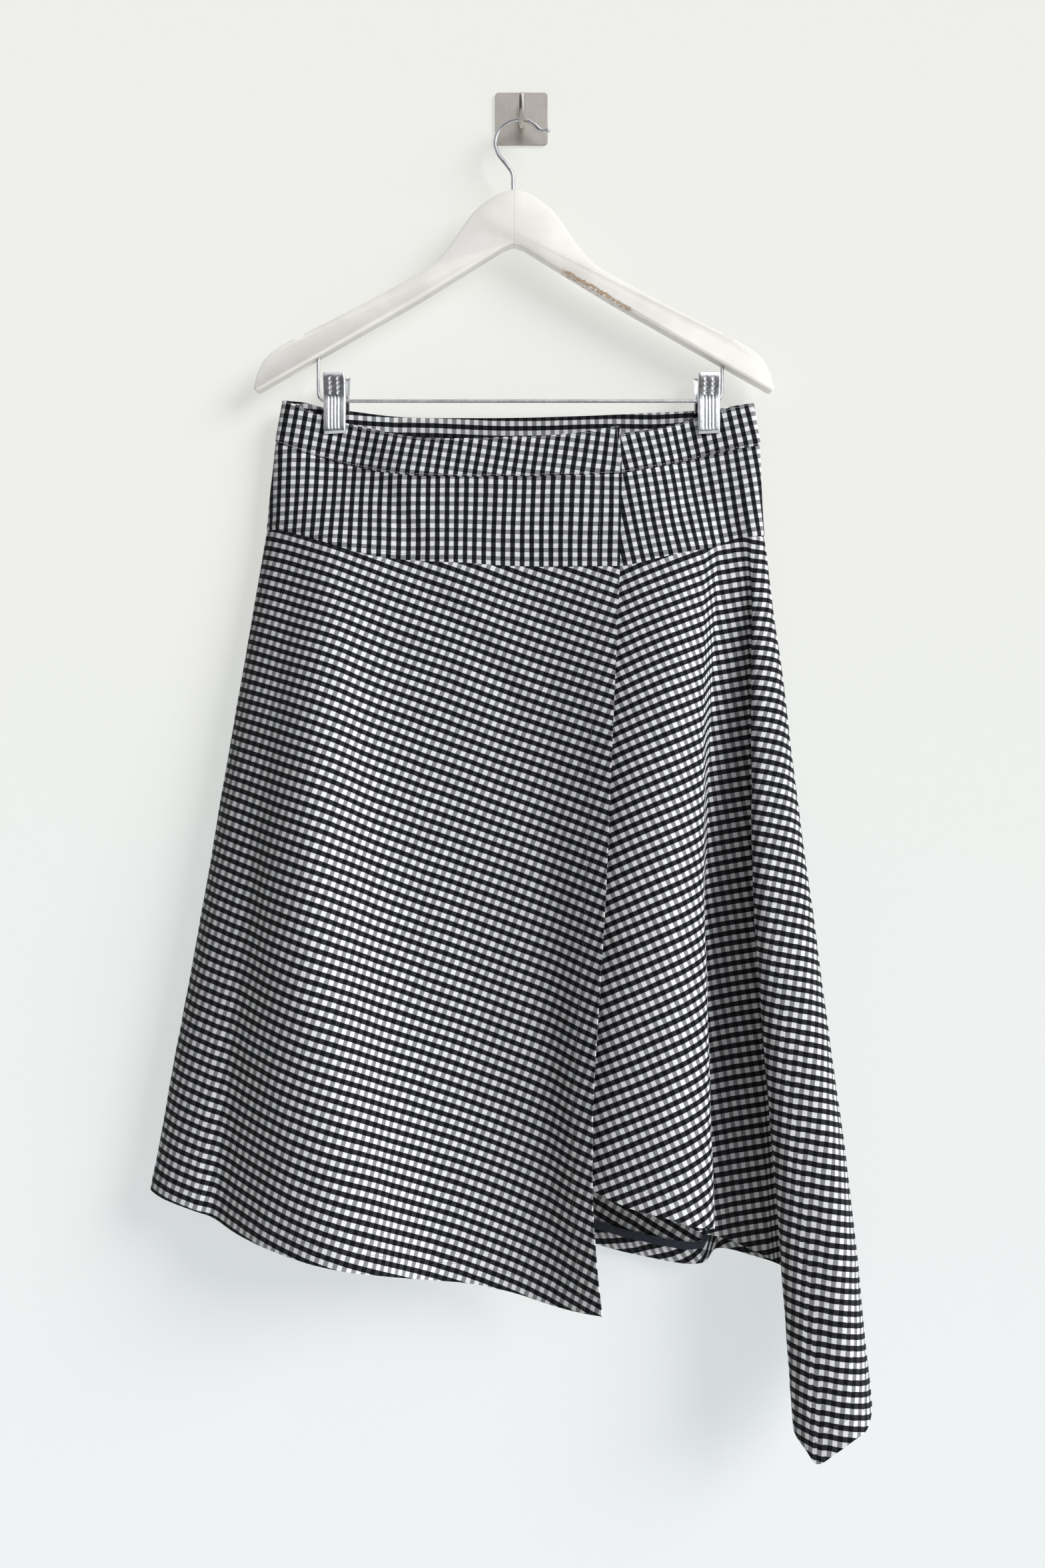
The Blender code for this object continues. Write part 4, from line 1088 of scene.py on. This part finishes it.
def build_clips(chrome, wire):
    for side, middle in CLIPS:
        shift = -math.copysign(JAW_SHIFT, middle)
        for face, mirror, place in (("front", 1, middle), ("back", -1, middle + shift)):
            outer, inner = jaw_faces(place, mirror)
            piece = shell(f"jaw_{face}_{side}", outer, inner, np.zeros((*outer.shape[:2], 2)))
            finish_piece(piece, chrome, (f"clip_{face}_{side}",), smooth=35)
        turns = np.linspace(0, COIL_TURNS * TAU, COIL_TURNS * 24)
        across = middle + COIL_LONG * (turns / turns[-1] - 0.5)
        route = np.stack([across, -HANG_FORWARD + COIL_RADIUS * np.cos(turns),
                          BAR_HEIGHT + COIL_RADIUS * np.sin(turns)], axis=1)
        coil = joined_piece(f"spring_{side}", [tube(*domed(route, COIL_WIRE / 2, 4), 10)])
        finish_piece(coil, wire, (f"clip_spring_{side}",))


# Where the hanger's paint is worn through: the ends of a line by its lower right edge, as (across, height).
WEAR_LINE = ((33, -137.6), (96, -174.8))
HANGER_MIDDLE = -6.5


def painted_wood():
    made, tree, shader = start_material("painted_wood", Roughness=0.42, Coat_Weight=0.15, Coat_Roughness=0.3)
    place = add_node(tree, "ShaderNodeTexCoord").outputs["Object"]
    parts = add_node(tree, "ShaderNodeSeparateXYZ", {0: place})
    brush = add_node(tree, "ShaderNodeMapping", {"Vector": place, "Scale": (60, 400, 400)})
    strokes = speckle(tree, brush.outputs[0], 1.0, 4.0)
    cloud = speckle(tree, place, 28.0, 4.0)
    fine = speckle(tree, place, 420.0, 4.0)
    paint = mixed(tree, mapped(tree, cloud.outputs[0], 0.3, 0.7), (0.74, 0.715, 0.67), (0.83, 0.81, 0.775))
    wood = mixed(tree, strokes.outputs[0], (0.34, 0.23, 0.15), (0.62, 0.48, 0.34))
    (x0, z0), (x1, z1) = WEAR_LINE
    long = math.hypot(x1 - x0, z1 - z0)
    run, rise = (x1 - x0) / long, (z1 - z0) / long
    dx = calc(tree, "SUBTRACT", parts.outputs[0], x0 * MM)
    dz = calc(tree, "SUBTRACT", parts.outputs[2], z0 * MM)
    along = calc(tree, "ADD", calc(tree, "MULTIPLY", dx, run), calc(tree, "MULTIPLY", dz, rise))
    offset = calc(tree, "SUBTRACT", calc(tree, "MULTIPLY", dz, run), calc(tree, "MULTIPLY", dx, rise))
    fray = calc(tree, "MULTIPLY", calc(tree, "SUBTRACT", fine.outputs[0], 0.5), 0.006)
    ragged = calc(tree, "ADD", calc(tree, "ABSOLUTE", offset), fray)
    start, end = mapped(tree, along, 0.0, 0.006), mapped(tree, along, long * MM, (long - 6) * MM)
    worn = calc(tree, "MULTIPLY", mapped(tree, ragged, 0.0017, 0.0007), calc(tree, "MULTIPLY", start, end))
    middle = calc(tree, "ABSOLUTE", calc(tree, "SUBTRACT", parts.outputs[0], HANGER_MIDDLE * MM))
    joint = mapped(tree, middle, 0.0004, 0.00015)
    shaded = mixed(tree, calc(tree, "MULTIPLY", joint, 0.22), paint, (0.30, 0.28, 0.25))
    tree.links.new(mixed(tree, worn, shaded, wood), shader.inputs["Base Color"])
    satin = mapped(tree, cloud.outputs[0], 0.3, 0.7, 0.34, 0.48)
    rough = calc(tree, "ADD", satin, calc(tree, "MULTIPLY", worn, 0.3))
    tree.links.new(rough, shader.inputs["Roughness"])
    ridges = calc(tree, "MULTIPLY", strokes.outputs[0], 0.5)
    height = calc(tree, "SUBTRACT", ridges, calc(tree, "ADD", worn, joint))
    raise_surface(tree, shader, 0.5, 0.00025, height)
    return made


def build_hanger(made):
    """The hanger's solid with its facets shaded as smooth curves."""
    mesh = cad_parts["hanger_body"].data.copy()
    shape = bmesh.new()
    shape.from_mesh(mesh)
    bmesh.ops.remove_doubles(shape, verts=shape.verts, dist=0.01 * MM)
    bmesh.ops.recalc_face_normals(shape, faces=shape.faces)
    shape.to_mesh(mesh)
    shape.free()
    mesh.materials.clear()
    piece = bpy.data.objects.new("hanger_wood", mesh)
    bpy.context.scene.collection.objects.link(piece)
    finish_piece(piece, made, ("hanger_body",), smooth=20)


def build_all():
    noise.seed_set(WOBBLE_SEED)      # otherwise its vectors differ from run to run
    surfaces = cloth_surfaces()
    dress_surfaces(surfaces)
    check = gingham()
    pale = thread_material("thread_pale", (0.45, 0.45, 0.46))
    grey = thread_material("thread_grey", (0.16, 0.16, 0.17))
    dark = thread_material("thread_dark", (0.02, 0.021, 0.028))
    navy = thread_material("thread_navy", (0.035, 0.045, 0.085))
    wire = metal("wire_steel", (0.56, 0.56, 0.57), 0.2, (300, 300, 300), 0.000004)
    plate_steel = metal("plate_steel", (0.44, 0.405, 0.365), 0.4, (2600, 2600, 50), 0.00003)
    prong_steel = metal("rod_steel", (0.48, 0.45, 0.41), 0.2, (600, 60, 600), 0.000004)
    chrome = metal("clip_chrome", (0.72, 0.72, 0.73), 0.16, (300, 300, 300), 0.000004)
    build_cloth(surfaces, check)
    build_turn_up(surfaces["panel_back"], check, navy, dark)
    build_stitches(surfaces, {"pale": pale, "grey": grey, "dark": dark})
    build_corner_loop(surfaces["waistband_over"], dark)
    build_plate(plate_steel)
    build_rods(prong_steel, wire)
    build_clips(chrome, wire)
    build_hanger(painted_wood())


build_camera()
build_stage()
build_all()
